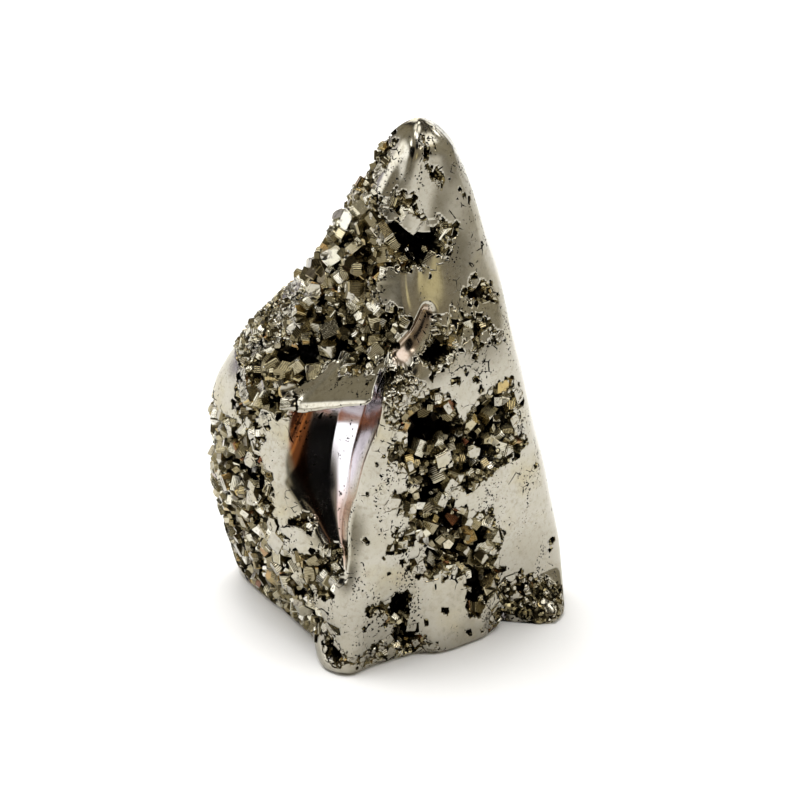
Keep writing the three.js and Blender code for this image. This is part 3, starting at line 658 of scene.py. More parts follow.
def grid_on_skin(azimuths, heights):
    """Azimuth and height of each grid point. The rows bend to follow the ledge's lip and the
    columns the pocket's two edges, so that no edge is stepped."""
    az, z = np.meshgrid(azimuths, heights)
    beside = unit((az - LIP_LEFT) / LIP_BLEND) * unit((LIP_RIGHT - az) / LIP_BLEND)
    bottom, middle, top = ROW_KNOTS
    z = stretched(z, ROW_KNOTS, (bottom, middle + (lip_height(az) - middle) * beside, top))
    open_share = unit((z - EDGES_LOW[0]) / EDGES_LOW[1]) * unit((EDGES_HIGH[0] - z) / EDGES_HIGH[1])
    level = np.clip(z, POCKET_HEIGHTS[0], POCKET_HEIGHTS[-1])
    left = along(POCKET_HEIGHTS, POCKET_LEFT, level)
    right = along(POCKET_HEIGHTS, POCKET_RIGHT, level)
    middle, half = (left + right) / 2, np.maximum((right - left) / 2, LEAST_HALF_WIDTH)
    first, second, third, last = COLUMN_KNOTS
    left = second + (middle - half - second) * open_share
    right = third + (middle + half - third) * open_share
    return stretched(az, COLUMN_KNOTS, (first, left, right, last)), z


def closed_skin(name, azimuths, step, radius_at, rim):
    """The closed surface of rings over azimuth and height, with the base and the tip each
    closed by a fan. Gives the piece and the grid's azimuths and heights."""
    rings = ring_heights(step)
    az, z = grid_on_skin(azimuths, rings[:, 1])
    share = np.broadcast_to(rings[:, :1], az.shape)
    points = polished_point(az, z, radius_at(az, z), share, rim).reshape(-1, 3)
    columns, rows = len(azimuths), len(rings)
    base = placed(np.zeros(1), np.zeros(1), np.zeros(1), 0.0)
    tip = placed(np.zeros(1), np.array([HEIGHT]), np.zeros(1))
    points = np.vstack([points, base, tip]) * MM
    grid = np.arange(columns * rows).reshape(rows, columns)
    low, high = grid[:-1], grid[1:]
    quads = np.stack([low, np.roll(low, -1, 1), np.roll(high, -1, 1), high], -1).reshape(-1, 4)
    under = np.stack([np.roll(grid[0], -1), grid[0], np.full(columns, columns * rows)], -1)
    over = np.stack([grid[-1], np.roll(grid[-1], -1), np.full(columns, columns * rows + 1)], -1)
    corners = np.concatenate([quads.ravel(), under.ravel(), over.ravel()])
    sizes = np.concatenate([np.full(len(quads), 4), np.full(2 * columns, 3)])
    piece = mesh_piece(name, points, corners, sizes, True)
    return piece, az, z


def habit(planes):
    """Corners and faces of the space inside planes, each a direction and a distance: a corner
    is where three planes meet inside all the others, and a face's corners go round it in
    order of their angle."""
    normals = np.array([n for n, _ in planes], float)
    normals /= np.linalg.norm(normals, axis=1, keepdims=True)
    away = np.array([d for _, d in planes], float)
    i, j, k = np.array(np.meshgrid(*[np.arange(len(away))] * 3)).reshape(3, -1)
    ordered = (i < j) & (j < k)
    i, j, k = i[ordered], j[ordered], k[ordered]
    sets = np.stack([normals[i], normals[j], normals[k]], 1)
    meets = np.abs(np.linalg.det(sets)) > 1e-6
    corners = np.linalg.solve(sets[meets], np.stack([away[i], away[j], away[k]], 1)[meets][..., None])[..., 0]
    corners = corners[(corners @ normals.T <= away + 1e-6).all(1)]
    corners = np.unique(np.round(corners, 6), axis=0)
    faces = []
    for normal, d in zip(normals, away):
        on = np.flatnonzero(np.abs(corners @ normal - d) < 1e-4)
        if len(on) < 3:
            continue
        side = np.cross(normal, [0.3, 0.5, 0.8])
        across = np.cross(normal, side)
        middle = corners[on].mean(0)
        angle = np.arctan2((corners[on] - middle) @ across, (corners[on] - middle) @ side)
        faces.append(on[np.argsort(angle)])
    return corners, faces


def crystal_habits():
    """Pyrite's habits: the cube, the pyritohedron, and cubes cut by one or both of the
    pyritohedron and the octahedron."""
    cube = [(s * np.eye(3)[i], 1.0) for i in range(3) for s in (1, -1)]
    signs = [(s, t) for s in (1, -1) for t in (1, -1)]
    five = []
    for i in range(3):
        for s, t in signs:
            normal = np.zeros(3)
            normal[i], normal[(i + 1) % 3] = 2 * s, t
            five.append(normal)
    eight = [np.array([r, s, t]) for r in (1, -1) for s, t in signs]
    return (
        habit(cube),
        habit([(n, 1.0) for n in five]),
        habit(cube + [(n, FIVE_CUT) for n in five]),
        habit(cube + [(n, EIGHT_CUT) for n in eight]),
        habit(cube + [(n, BOTH_CUT[0]) for n in five] + [(n, BOTH_CUT[1]) for n in eight]),
    )


def turns(rng, count):
    """Rotation matrices at random, from unit quaternions."""
    w, x, y, z = (q := rng.normal(size=(count, 4))).T / np.linalg.norm(q, axis=1)
    return np.stack([
        1 - 2 * (y * y + z * z), 2 * (x * y - z * w), 2 * (x * z + y * w),
        2 * (x * y + z * w), 1 - 2 * (x * x + z * z), 2 * (y * z - x * w),
        2 * (x * z - y * w), 2 * (y * z + x * w), 1 - 2 * (x * x + y * y),
    ], -1).reshape(count, 3, 3)


def scattered(outline, pitch, rng):
    """Places in an outline: rows a little under one pitch apart, and along each row one pitch
    apart on the skin, each moved at random by up to a third of the pitch."""
    corners = np.array(outline, float)
    (a0, z0), (a1, z1) = corners.min(0), corners.max(0)
    fine = np.linspace(a0 - 4, a1 + 4, 120)
    azimuths, heights = [], []
    for row, z in enumerate(np.arange(z0 - 1, z1 + 1, pitch * ROW_PITCH)):
        path = skin_point(fine, np.full(fine.shape, np.clip(z, 0.1, HEIGHT - 0.5)))
        arc = arc_length(path)
        azimuths.append(np.interp(np.arange(pitch / 2 * (row % 2), arc[-1], pitch), arc, fine))
        heights.append(np.full(len(azimuths[-1]), z))
    azimuth, z = np.concatenate(azimuths), np.concatenate(heights)
    per_degree = degree_length(azimuth, np.clip(z, 0.1, HEIGHT - 0.5))
    azimuth = azimuth + pitch * MOVED_BY * (rng.random(len(z)) - 0.5) / per_degree
    z = np.clip(z + pitch * MOVED_BY * (rng.random(len(z)) - 0.5), 0.3, HEIGHT - 0.5)
    return azimuth, z, edge_distance(outline, azimuth, z)


def crystal_batch(shape, centre, turn, size, tone, rng):
    """Copies of one habit as whole arrays: points, corners, corner counts, the striation
    coordinates of each corner in millimetres, and each face's tone."""
    corners, faces = shape
    count = len(centre)
    local = corners[None] * (size[:, None] * (0.75 + 0.5 * rng.random((count, 3))))[:, None, :]
    points = np.einsum("nij,nkj->nki", turn, local) + centre[:, None]
    order = np.concatenate(faces)
    polygons = order[None] + (np.arange(count) * len(corners))[:, None]
    sizes = np.tile([len(f) for f in faces], count)
    along_u = []
    for face in faces:
        normal = np.cross(corners[face[1]] - corners[face[0]], corners[face[2]] - corners[face[0]])
        axis = np.roll(np.eye(3)[np.argmax(np.abs(normal))], 1)
        along_u.append(np.stack([corners[face] @ axis, corners[face] @ np.cross(normal, axis)], 1))
    uv = np.concatenate(along_u)[None] * size[:, None, None]
    tones = unit(0.75 * np.repeat(tone, len(faces)) + 0.25 * rng.random(count * len(faces)))
    return points.reshape(-1, 3), polygons.ravel(), sizes, uv.reshape(-1, 2), tones


def crystals_of(hollow, index, shapes):
    """The crystals of one hollow, in three sizes: large ones one size apart, and two finer
    generations between them. Those near the edge and a share of the others reach the skin, to
    be ground flush; the rest lie at a random depth, and in a deep place on its floor."""
    usual = hollow.size
    rng = np.random.default_rng(SEED + index)
    batches = []
    for scale, pitch, reach in GENERATIONS:
        azimuth, z, inner = scattered(hollow.outline, usual * pitch, rng)
        keep = inner > -0.3 * usual * scale
        azimuth, z, inner = azimuth[keep], z[keep], inner[keep]
        count = len(z)
        if count == 0:
            continue
        size = 0.5 * usual * scale * (SIZE_LEAST + SIZE_MORE * rng.random(count) ** 1.5)
        room = np.minimum(hollow.depth, WALL + WALL_SLOPE * np.maximum(inner, 0))
        lift = hollow.proud * (0.5 + 0.5 * wave(azimuth, z, 0, 0.9, 0.3) * wave(azimuth, z, 14, 0.4))
        usual_depth = size - lift + (room - size * 0.5) * (reach + (1 - reach) * rng.random(count))
        near_edge = unit(1 - inner / FLUSH_EDGE) * (hollow.proud >= 0)
        ground = hollow.flush + EDGE_FLUSH * near_edge if scale == 1.0 else FINE_FLUSH * near_edge
        top = rng.random(count) < ground
        down = np.where(top, size * (DOWN_LEAST + DOWN_MORE * rng.random(count)), usual_depth)
        down = np.maximum(down, deep_sink(azimuth, z) - 0.3 * size)
        radius = polished_radius(azimuth, z, RIM_ROUNDING)
        surface = polished_point(azimuth, z, radius, 1.0, RIM_ROUNDING)
        centre = surface - skin_normal(azimuth, z) * down[:, None]
        turn = turns(rng, count)
        tone = rng.random(count)
        kind = rng.choice(len(shapes), count, p=HABIT_SHARES)
        for k, shape in enumerate(shapes):
            pick = kind == k
            if pick.any():
                batches.append(crystal_batch(shape, centre[pick], turn[pick], size[pick], tone[pick], rng))
    return batches


def joined_batches(name, batches):
    """One mesh of many batches, with its striation coordinates and tones."""
    offsets = np.cumsum([0] + [len(b[0]) for b in batches[:-1]])
    points, corners, sizes, uvs, tones = zip(*batches)
    corners = np.concatenate([c + o for c, o in zip(corners, offsets)])
    piece = mesh_piece(name, np.concatenate(points) * MM, corners, np.concatenate(sizes), False)
    uv = piece.data.uv_layers.new(name="striation")
    uv.data.foreach_set("uv", np.concatenate(uvs).astype(np.float32).ravel())
    tone = piece.data.attributes.new("tone", "FLOAT", "FACE")
    tone.data.foreach_set("value", np.concatenate(tones).astype(np.float32))
    return piece


def set_place(piece, shade=1.0):
    """Gives the mesh three attributes worked out from where its points are: their depth below
    the skin, in millimetres along the level line to the axis, times how much of the light the
    hollow loses with depth, which paints shade on what lies deep and, on the polish, the cold white
    highlight deep in the pocket; their nearness to a hollow; and the brown of the pocket's sides and
    of the tongue, partly a tarnished film and partly a painted reflection."""
    mesh = piece.data
    points = np.empty(len(mesh.vertices) * 3, np.float32)
    mesh.vertices.foreach_get("co", points)
    points = points.reshape(-1, 3).astype(float) / MM
    z = np.clip(points[:, 2], 0, HEIGHT - 0.05)
    x = points[:, 0] - AXIS_TO_BOX[0] - along(LEVELS, AXIS_LEAN, z)
    y = points[:, 1] - AXIS_TO_BOX[1]
    azimuth = np.degrees(np.arctan2(x, -y))
    # The base's forward place depends on the azimuth, so it is found in three rounds
    for _ in range(3):
        azimuth = np.degrees(np.arctan2(x, -y - base_forward(azimuth, z)))
    out = np.hypot(x, y + base_forward(azimuth, z))
    skin = skin_radius(azimuth, z)
    depth = np.maximum(skin - out, 0)
    # Depth behind the nearer of the skin and the ledge: on crystals and hollow floors it paints shade, on the
    # polish the cold white highlight deep in the pocket
    dark = np.maximum(np.minimum(skin, ledge_radius(azimuth, z)) - out, 0) * shade
    across, _ = pocket_across(points[:, 0], z)
    # The brown of the pocket's sides and of the groove: partly a tarnished film, partly a painted reflection
    in_pocket = (np.abs(across) < 1.1) & within(azimuth, TARNISH_REFLECTION_AT) & (z < lip_height(azimuth) - 0.2)
    left_side = unit((TARNISH_REFLECTION_LEFT[0] - across) / TARNISH_REFLECTION_LEFT[1])
    low_right = TARNISH_REFLECTION_RIGHT_AMOUNT * unit((across - TARNISH_REFLECTION_RIGHT[0]) / TARNISH_REFLECTION_RIGHT[1])
    low_right = low_right * unit((TARNISH_REFLECTION_RIGHT_HIGH[0] - z) / TARNISH_REFLECTION_RIGHT_HIGH[1])
    tarnish_and_reflection = in_pocket * unit(depth / 0.6 - 0.5) * np.maximum(left_side, low_right)
    tarnish_and_reflection = np.maximum(tarnish_and_reflection, GROOVE_TARNISH_REFLECTION * unit(4.5 - 5 * tongue_off(azimuth, z)))
    for name, values in (("depth", dark), ("nearness", hollow_nearness(azimuth, z)), ("tarnish_and_reflection", tarnish_and_reflection)):
        attribute = mesh.attributes.get(name) or mesh.attributes.new(name, "FLOAT", "POINT")
        attribute.data.foreach_set("value", values.astype(np.float32))


def boolean(piece, operation, other):
    """Applies a boolean with an object or a collection, which leaves closed faces closed."""
    cut = piece.modifiers.new("cut", "BOOLEAN")
    cut.operation = operation
    cut.solver = "MANIFOLD"
    cut.material_mode = "TRANSFER"
    if isinstance(other, bpy.types.Collection):
        cut.operand_type = "COLLECTION"
        cut.collection = other
    else:
        cut.object = other
    graph = bpy.context.evaluated_depsgraph_get()
    result = bpy.data.meshes.new_from_object(piece.evaluated_get(graph), depsgraph=graph)
    piece.modifiers.clear()
    old = piece.data
    name = old.name
    piece.data = result
    bpy.data.meshes.remove(old)
    result.name = name


def add_block(blocks, shape, size, turn, centre):
    """Adds one habit to a collection, its corners scaled, turned and moved."""
    corners, faces = shape
    points = (turn @ (corners * size).T).T + centre
    block = mesh_piece("block", points * MM, np.concatenate(faces), [len(f) for f in faces], False)
    bpy.context.scene.collection.objects.unlink(block)
    blocks.objects.link(block)


def rim_blocks(rng, shapes):
    """Small angular blocks along every hollow's edge, which break it where crystals met the
    skin: along each outline one pitch apart, moved at random by up to half a pitch. Two thin
    ones crossed at random make each single gap between grains."""
    blocks = bpy.data.collections.new("rim blocks")
    bpy.context.scene.collection.children.link(blocks)
    share = np.linspace(0, 1, 60, endpoint=False)[:, None, None]
    for hollow in HOLLOWS:
        corners = np.array(hollow.outline, float)
        after = np.roll(corners, -1, axis=0)
        path = (corners * (1 - share) + after * share).transpose(1, 0, 2).reshape(-1, 2)
        path[:, 1] = np.clip(path[:, 1], 0.3, HEIGHT - 0.5)
        arc = arc_length(skin_point(path[:, 0], path[:, 1]))
        at = np.arange(0, arc[-1], RIM_PITCH)
        azimuth, z = np.interp(at, arc, path[:, 0]), np.interp(at, arc, path[:, 1])
        per_degree = degree_length(azimuth, z)
        sideways, upward = drift(azimuth, z)
        azimuth = azimuth - sideways / per_degree + RIM_PITCH * (rng.random(len(at)) - 0.5) / per_degree
        z = np.clip(z - upward + RIM_PITCH * (rng.random(len(at)) - 0.5), 0.4, HEIGHT - 0.6)
        size = (RIM_LEAST + RIM_MORE * rng.random(len(at)) ** 2) * min(1, hollow.size / RIM_USUAL)
        down = size * 0.5 * rng.random(len(at))
        centre = skin_point(azimuth, z) - skin_normal(azimuth, z) * down[:, None]
        turn = turns(rng, len(at))
        for n in range(len(at)):
            add_block(blocks, shapes[n % 2], np.full(3, size[n]), turn[n], centre[n])
    azimuth, z, length = np.array(GAPS).T
    centre = skin_point(azimuth, z) - skin_normal(azimuth, z) * 0.1
    for n, turn in enumerate(turns(rng, 2 * len(length))):
        shape = length[n // 2] * np.array([0.5, 0.16 + 0.12 * rng.random(), 0.3])
        place = centre[n // 2] + 0.25 * (rng.random(3) - 0.5) * length[n // 2]
        add_block(blocks, shapes[0], shape, turn, place)
    return blocks


def remove(pieces):
    """Removes objects with their meshes."""
    for piece in pieces:
        mesh = piece.data
        bpy.data.objects.remove(piece)
        bpy.data.meshes.remove(mesh)


def linear(colour):
    """Linear values of an sRGB hex colour."""
    channels = [int(colour[i:i + 2], 16) / 255 for i in (1, 3, 5)]
    return [c / 12.92 if c <= 0.04045 else ((c + 0.055) / 1.055) ** 2.4 for c in channels] + [1.0]


# Kinds of node that are used often, with their usual settings and inputs
KINDS = {
    "times": ("Math", {"operation": "MULTIPLY"}),
    "plus": ("Math", {"operation": "ADD"}),
    "less": ("Math", {"operation": "SUBTRACT"}),
    "larger of": ("Math", {"operation": "MAXIMUM"}),
    "is under": ("Math", {"operation": "LESS_THAN"}),
    "is over": ("Math", {"operation": "GREATER_THAN"}),
    "fraction": ("Math", {"operation": "FRACT"}),
    "share": ("MapRange", {"interpolation_type": "SMOOTHSTEP"}),
    "mixed": ("Mix", {"data_type": "RGBA"}),
    "moved": ("VectorMath", {"operation": "MULTIPLY_ADD"}),
    "metal": ("BsdfPrincipled", {"Metallic": 1.0}),
}


def add_node(tree, kind, *values, out=None, stops=(), **named):
    """Adds a node of a kind, or of a type that the list of kinds leaves out. Values go to its
    open inputs in turn, and named values to the input of that name, or to the setting where the
    name is in small letters. Gives the named output, or the first that is open."""
    kind, usual = KINDS.get(kind, (kind, {}))
    node = tree.nodes.new("ShaderNode" + kind)
    named = {**usual, **named}
    for key, value in named.items():
        if key[0].islower():
            setattr(node, key, value)
    filled = list(zip([socket for socket in node.inputs if socket.enabled], values))
    filled += [(node.inputs[key.replace("_", " ")], value)
               for key, value in named.items() if key[0].isupper()]
    for socket, value in filled:
        if isinstance(value, bpy.types.NodeSocket):
            tree.links.new(value, socket)
        else:
            socket.default_value = linear(value) if isinstance(value, str) else value
    for n, (position, colour) in enumerate(stops):
        elements = node.color_ramp.elements
        element = elements[n] if n < 2 else elements.new(position)
        element.position, element.color = position, linear(colour)
    return node.outputs[out] if out else next((s for s in node.outputs if s.enabled), None)


def cleared(owner):
    """The function that adds nodes to a material or a world, whose own nodes are taken out."""
    owner.use_nodes = True
    owner.node_tree.nodes.clear()
    return partial(add_node, owner.node_tree)


def ground_pyrite():
    """Pyrite ground on a wheel and polished with rouge: a pale, slightly warm mirror. The grains
    it is grown from leave angular gaps where three meet, short cracks along their edges and
    pinpricks of pores, all painted black against the polish as the shade in them, and more of them
    beside the hollows. Deep in the pocket the colour turns a cold white, a painted highlight that
    whitens its reflections, with brown beside that is partly a tarnished film and partly a painted
    reflection."""
    material = bpy.data.materials.new("ground_and_polished_pyrite")
    add = cleared(material)
    near, tarnish_and_reflection, depth = [add("Attribute", attribute_name=name, out="Fac")
                            for name in ("nearness", "tarnish_and_reflection", "depth")]
    place = add("TexCoord", out="Object")
    # Scales are parts to a metre: 130 gives clouds of 7.7 mm and 1400 a ruffle of 0.7 mm
    cloud = add("TexNoise", Vector=place, Scale=130.0, Detail=4.0, Roughness=0.6)
    fine = add("TexNoise", Vector=place, Scale=1400.0, Detail=3.0, Roughness=0.7)
    torn = add("moved", fine.node.outputs["Color"], (0.0009, 0.0009, 0.0009), place)
    colour = add("ValToRGB", cloud, stops=(
        (0.3, "#aea999"), (0.5, "#b8b4a8"), (0.62, "#b4ae9b"), (0.75, "#b7ac8c")))
    colour = add("mixed", add("share", fine, 0.45, 0.8), colour, "#9a9484")
    # The lowest 17 mm are darker towards the bottom
    darker_low = add("times", add("share", add("SeparateXYZ", place, out="Z"), 0.017, 0.004), 0.45)
    colour = add("mixed", darker_low, colour, "#8d8778")
    # Grains of 1.6 mm, with gaps where they meet and cracks along parts of their edges
    patches = add("TexNoise", Vector=place, Scale=260.0, Detail=2.0)
    grains = add("TexVoronoi", Vector=place, Scale=620.0)
    often = add("times", near, add("times", add("share", patches, 0.35, 0.6), 0.17))
    gap = add("is over", add("plus", grains, often), 1.0)
    edges = add("TexVoronoi", Vector=place, Scale=620.0, feature="DISTANCE_TO_EDGE")
    broken = add("TexNoise", Vector=place, Scale=1100.0, Detail=2.0)
    beside = add("plus", patches, add("times", near, 0.12))
    open_share = add("times", add("share", beside, 0.6, 0.74), add("share", broken, 0.5, 0.58))
    crack = add("is under", edges, add("times", open_share, 0.045))
    # Ragged pits, one in five of the places 3 mm apart
    pits = add("TexVoronoi", Vector=torn, Scale=330.0)
    picked = add("SeparateXYZ", pits.node.outputs["Color"], out="X")
    width = add("times", add("share", picked, 0.8, 1.0), 0.1)
    ragged = add("times", add("less", broken, 0.5), 0.3)
    pit = add("is under", add("plus", pits, ragged), width)
    # Pores 0.4 mm apart, in patches drawn out upwards
    pores = add("TexVoronoi", Vector=torn, Scale=2300.0)
    drawn = add("Mapping", Vector=place, Rotation=(0.0, 0.3, 0.0), Scale=(1.0, 1.0, 0.35))
    porous = add("TexNoise", Vector=drawn, Scale=420.0, Detail=4.0)
    pore = add("is under", pores, add("times", add("share", porous, 0.42, 0.66), 0.34))
    hole = add("larger of", add("larger of", gap, crack), add("larger of", pore, pit))
    # Painted highlight: deep in the pocket the colour turns a cold white, which whitens its reflections
    colour = add("mixed", add("share", depth, 0.8, 2.0), colour, "#cfcbcf")
    # Brown on the pocket's sides and in the groove: partly a tarnished film, partly a painted reflection
    colour = add("mixed", tarnish_and_reflection, colour, "#9c6240")
    # Painted shade: gaps, cracks, pits and pores are painted near black
    colour = add("mixed", hole, colour, "#040403")
    rough = add("larger of", add("MapRange", cloud, 0.3, 0.7, 0.12, 0.2), add("times", hole, 0.7))
    bump = add("Bump", Strength=0.6, Distance=0.0001, Height=hole, invert=True)
    add("OutputMaterial", add("metal", Base_Color=colour, Roughness=rough, Normal=bump))
    return material


def crystal_pyrite():
    """Natural faces of pyrite crystals: bright brassy metal, finely striated along one edge, some
    brown or orange where tarnished, with painted glints and painted shade on single faces, painted
    shade in the grooves of the striations, and painted shade where they lie deep between others."""
    material = bpy.data.materials.new("natural_pyrite_crystal_faces")
    add = cleared(material)
    tone, depth = [add("Attribute", attribute_name=name, out="Fac") for name in ("tone", "depth")]
    # A face's tone, random for each, picks its colour: the near-white ones are painted glints and the dark
    # brass ones painted shade, and the highest are tarnished
    colour = add("ValToRGB", tone, stops=(
        (0.0, "#f4f1e8"), (0.22, "#e0dcca"), (0.42, "#b9b094"), (0.58, "#857b5e"), (0.7, "#5a523c"),
        (0.8, "#a69c7c"), (0.9, "#bfa871"), (0.95, "#94684a"), (0.99, "#6c3f2c")))
    # Dust in specks of 0.6 mm
    dust = add("TexNoise", Vector=add("TexCoord", out="Object"), Scale=1800.0, Detail=3.0)
    colour = add("mixed", add("share", dust, 0.5, 0.8), colour, "#5f5844")
    # Painted shade: each face loses the light at a depth of its own
    own = add("fraction", add("times", tone, 13.0))
    shaded = add("plus", depth, add("times", add("less", own, 0.5), 1.2))
    colour = add("mixed", add("share", shaded, 1.0, 2.6), colour, "#080605")
    # Lines 0.2 mm apart, coarser than the real ones so that they show, on about half of the faces
    face = add("UVMap", uv_map="striation")
    lines = add("TexWave", Vector=face, Scale=1.5, Distortion=2.5, Detail=3.0, Detail_Scale=1.5,
                bands_direction="X", out="Fac")
    striated = add("share", add("fraction", add("times", tone, 7.0)), 0.35, 0.6)
    groove = add("times", add("share", lines, 0.42, 0.2), striated)
    # Painted shade: the grooves of the striations are darkened in colour
    colour = add("mixed", add("times", groove, 0.5), colour, "#1c1609")
    bump = add("Bump", Strength=0.3, Distance=0.00006, Height=lines)
    rough = add("MapRange", tone, 0.0, 1.0, 0.04, 0.16)
    add("OutputMaterial", add("metal", Base_Color=colour, Roughness=rough, Normal=bump))
    return material


def hollow_pyrite():
    """The floor of the hollows: a sugar of crystals too small to make out, each face turned its
    own way, so that single grains glint; most grains are painted near black and deeper parts
    darker still, as painted shade."""
    material = bpy.data.materials.new("painted_shade_pyrite_hollow_floor")
    add = cleared(material)
    depth = add("Attribute", attribute_name="depth", out="Fac")
    # Grains of 0.4 mm, each facing its own way by up to 0.8 added to its normal each way
    grains = add("TexVoronoi", Vector=add("TexCoord", out="Object"), Scale=2600.0, out="Color")
    turned = add("VectorMath", grains, (0.5, 0.5, 0.5), operation="SUBTRACT")
    tilted = add("moved", turned, (1.6, 1.6, 1.6), add("NewGeometry", out="Normal"))
    facing = add("VectorMath", tilted, operation="NORMALIZE")
    pick = add("SeparateXYZ", grains, out="X")
    # Painted shade: most grains are painted near black and the rest pale brass, and deeper down it is painted
    # darker still
    colour = add("mixed", add("share", pick, 0.4, 0.9), "#2b2619", "#a69b78")
    colour = add("mixed", add("share", depth, 0.3, 1.6), colour, "#070605")
    add("OutputMaterial", add("metal", Base_Color=colour, Roughness=0.25, Normal=facing))
    return material


def white_card(colour):
    """Matt white card: even and bright round the specimen and behind it, so that only the shadow
    shows, and painted greyer towards the camera, more so further off, as painted shade of less
    light there, which is what the polish mirrors low down."""
    material = bpy.data.materials.new("matt_white_card")
    add = cleared(material)
    place = add("TexCoord", out="Object")
    away = add("VectorMath", place, operation="LENGTH")
    front = add("SeparateXYZ", place, out="Y")
    # Painted shade: the card is painted greyer towards the camera, and more so further off
    dim = add("times", add("share", away, 0.1, 0.5), add("share", front, 0.12, -0.02))
    card = add("mixed", add("times", dim, 0.75), colour, "#a8a395")
    aside = add("times", add("share", away, 0.3, 0.7), add("share", front, -0.1, -0.3))
    card = add("mixed", add("times", aside, 0.6), card, "#6f6a5c")
    add("OutputMaterial", add("BsdfPrincipled", Base_Color=card, Roughness=0.9))
    return material


def light_tent():
    """A pale tent with bright windows and darker parts: each part is a round patch round a
    direction, whose edge fades smoothly between two angles from it."""
    world = bpy.data.worlds.new("light tent")
    add = cleared(world)
    towards = add("TexCoord", out="Generated")
    colour = TENT_SHADE
    for azimuth, elevation, inner, outer, shade, level in TENT_PARTS:
        a, e = math.radians(azimuth), math.radians(elevation)
        centre = (math.sin(a) * math.cos(e), -math.cos(a) * math.cos(e), math.sin(e))
        near = add("VectorMath", towards, centre, operation="DOT_PRODUCT")
        share = add("share", near, math.cos(math.radians(outer)), math.cos(math.radians(inner)))
        colour = add("mixed", share, colour, [c * level for c in linear(shade)[:3]] + [1.0])
    add("OutputWorld", add("Background", colour, TENT_STRENGTH))
    return world


def settle(piece):
    """A finished piece rides on the root body and stands for the solid."""
    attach(piece, "root")
    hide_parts(NODE)


class SPECIMEN_PG_shape(PropertyGroup):
    rim: FloatProperty(name="Pocket rim", description="Radius of the rounded rim of the pocket",
                       default=0.00035, unit="LENGTH", min=0.00005)
    step: FloatProperty(name="Skin step", description="Height of one step of the skin's grid",
                        default=0.00032, unit="LENGTH", min=0.0001)
    columns: IntProperty(name="Columns", description="Steps of the skin's grid round the mass",
                         default=340, min=40)


class SPECIMEN_PG_studio(PropertyGroup):
    lamp: FloatProperty(name="Softbox", description="Power of the overhead softbox, which lights the floor",
                        default=13.0, unit="POWER", min=0.0)
    floor: FloatVectorProperty(name="Floor", description="Colour of the floor", default=(0.93, 0.93, 0.93),
                               subtype="COLOR", min=0.0, max=1.0)
    distance: FloatProperty(name="Camera distance", description="From the camera to the point it looks at",
                            default=0.32, unit="LENGTH")
    elevation: FloatProperty(name="Camera elevation", description="Angle of the view above the horizon",
                             default=math.radians(24), subtype="ANGLE")


def front_weighted_azimuths(columns):
    """Azimuths closer together over the front than over the back: the density is a raised
    cosine."""
    fine = np.linspace(-180, 180, 721)
    density = 1 + 0.35 * np.cos(np.radians(fine))
    total = np.concatenate([[0], np.cumsum((density[1:] + density[:-1]) / 2)])
    return np.interp(np.linspace(0, total[-1], columns, endpoint=False), total, fine)


class SPECIMEN_OT_polished_mass(Operator):
    """Makes the ground and polished mass with its pocket and open hollows"""
    bl_idname = "specimen.polished_mass"
    bl_label = "Polished mass"

    def execute(self, context):
        shape = context.scene.specimen_shape
        rim = shape.rim / MM
        azimuths = front_weighted_azimuths(shape.columns)

        def opened(az, z):
            return polished_radius(az, z, rim) - hollow_sink(az, z)

        piece, az, z = closed_skin("polished_mass", azimuths, shape.step / MM, opened, rim)
        materials = (ground_pyrite(), hollow_pyrite(), crystal_pyrite())
        for material in materials:
            piece.data.materials.append(material)
        sunk = hollow_sink(az, z) > 0.3
        low, high = sunk[:-1], sunk[1:]
        floor = low | np.roll(low, -1, 1) | high | np.roll(high, -1, 1)
        index = np.concatenate([floor.ravel(), np.zeros(2 * len(azimuths), bool)])
        piece.data.polygons.foreach_set("material_index", index.astype(np.int32))
        shapes = crystal_habits()
        blocks = rim_blocks(np.random.default_rng(SEED), (shapes[0], shapes[1]))
        for block in blocks.objects:
            block.data.materials.append(materials[1])
        boolean(piece, "DIFFERENCE", blocks)
        remove(list(blocks.objects))
        bpy.data.collections.remove(blocks)
        set_place(piece)
        settle(piece)
        return {"FINISHED"}


class SPECIMEN_OT_crystals(Operator):
    """Makes the crystals of the hollows, ground flush where they reach the skin"""
    bl_idname = "specimen.crystals"
    bl_label = "Crystals"

    def execute(self, context):
        shape = context.scene.specimen_shape
        rim = shape.rim / MM
        azimuths = front_weighted_azimuths(shape.columns)
        step = shape.step / MM * 1.3

        def ground_off(az, z):
            return polished_radius(az, z, rim) - GRIND + proud_level(az, z)

        ground, _, _ = closed_skin("ground level", azimuths, step, ground_off, rim)
        ground.data.materials.append(bpy.data.materials["ground_and_polished_pyrite"])
        facets = bpy.data.materials["natural_pyrite_crystal_faces"]
        shapes = crystal_habits()
        for group in ("slope", "right", "left", "back"):
            batches = []
            for index, hollow in enumerate(HOLLOWS):
                if hollow.group == group:
                    batches += crystals_of(hollow, index, shapes)
            piece = joined_batches("crystals_" + group, batches)
            piece.data.materials.append(facets)
            boolean(piece, "INTERSECT", ground)
            set_place(piece, SLOPE_SHADE if group == "slope" else 1.0)
            settle(piece)
        remove([ground])
        return {"FINISHED"}


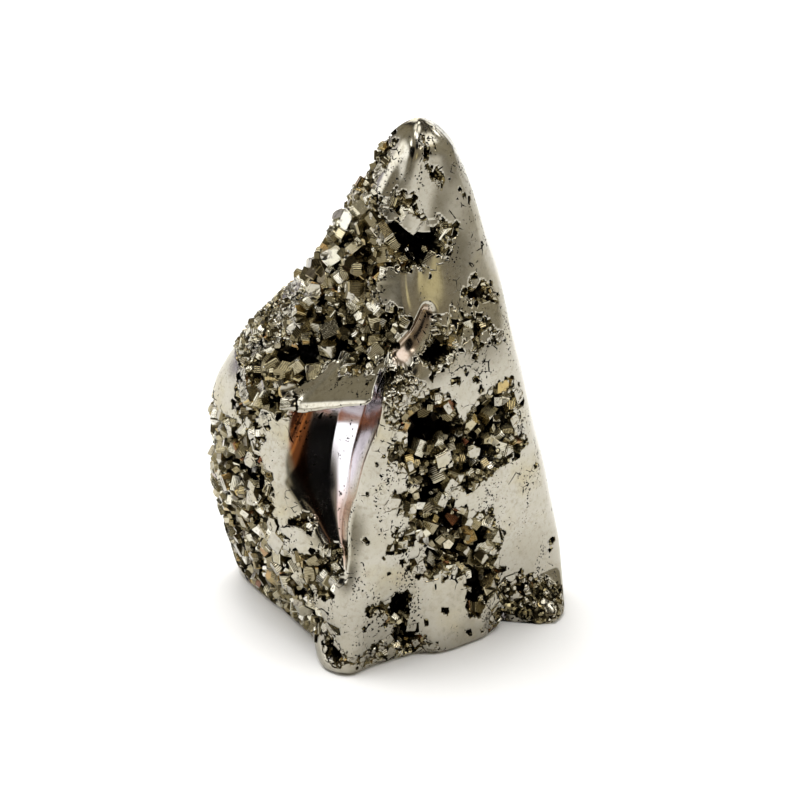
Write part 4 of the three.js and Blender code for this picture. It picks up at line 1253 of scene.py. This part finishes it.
class SPECIMEN_OT_studio(Operator):
    """Makes the floor, the soft light and the camera"""
    bl_idname = "specimen.studio"
    bl_label = "Studio"

    def execute(self, context):
        studio = context.scene.specimen_studio
        half = 3.0
        points = np.array([(-half, -half, 0), (half, -half, 0), (half, half, 0), (-half, half, 0)])
        floor = mesh_piece("floor", points, [0, 1, 2, 3], [4], False)
        floor.data.materials.append(white_card((*studio.floor, 1.0)))
        lamp = bpy.data.objects.new("overhead softbox", bpy.data.lights.new("overhead softbox", "AREA"))
        context.scene.collection.objects.link(lamp)
        lamp.location = LAMP_PLACE
        lamp.data.shape = "DISK"
        lamp.data.size = LAMP_SIZE
        lamp.data.energy = studio.lamp
        lamp.visible_glossy = False
        context.scene.world = light_tent()
        camera = bpy.data.objects.new("camera", bpy.data.cameras.new("camera"))
        context.scene.collection.objects.link(camera)
        target = LOOKED_AT + Vector((AXIS_TO_BOX[0], AXIS_TO_BOX[1], 0)) * MM
        away = Vector((0, -math.cos(studio.elevation), math.sin(studio.elevation)))
        camera.location = target + away * studio.distance
        camera.rotation_euler = (-away).to_track_quat("-Z", "Y").to_euler()
        camera.data.lens = SENSOR_MM * AWAY_MM / (PICTURE_PIXELS * PIXEL_MM)
        camera.data.clip_start = 0.01
        camera.data.clip_end = 20
        context.scene.camera = camera
        context.scene.view_settings.view_transform = "Standard"
        return {"FINISHED"}


class SPECIMEN_PT_parts(Panel):
    """Shows the shape and studio settings and a button that makes each part"""
    bl_label = "Pyrite Specimen"
    bl_idname = "SPECIMEN_PT_parts"
    bl_space_type = "VIEW_3D"
    bl_region_type = "UI"
    bl_category = "Specimen"

    def draw(self, context):
        scene = context.scene
        for group in (scene.specimen_shape, scene.specimen_studio):
            for name in group.__annotations__:
                self.layout.prop(group, name)
        for operator in OPERATORS:
            self.layout.operator(operator.bl_idname)


OPERATORS = (SPECIMEN_OT_polished_mass, SPECIMEN_OT_crystals, SPECIMEN_OT_studio)
CLASSES = (SPECIMEN_PG_shape, SPECIMEN_PG_studio, *OPERATORS, SPECIMEN_PT_parts)


def register():
    """Makes the classes and their settings known."""
    for cls in CLASSES:
        bpy.utils.register_class(cls)
    bpy.types.Scene.specimen_shape = PointerProperty(type=SPECIMEN_PG_shape)
    bpy.types.Scene.specimen_studio = PointerProperty(type=SPECIMEN_PG_studio)


def unregister():
    """Takes the classes and their settings away again."""
    del bpy.types.Scene.specimen_studio
    del bpy.types.Scene.specimen_shape
    for cls in reversed(CLASSES):
        bpy.utils.unregister_class(cls)


def main():
    """Makes the stage and the pieces."""
    register()
    bpy.ops.specimen.studio()
    bpy.ops.specimen.polished_mass()
    bpy.ops.specimen.crystals()


if __name__ == "__main__":
    main()
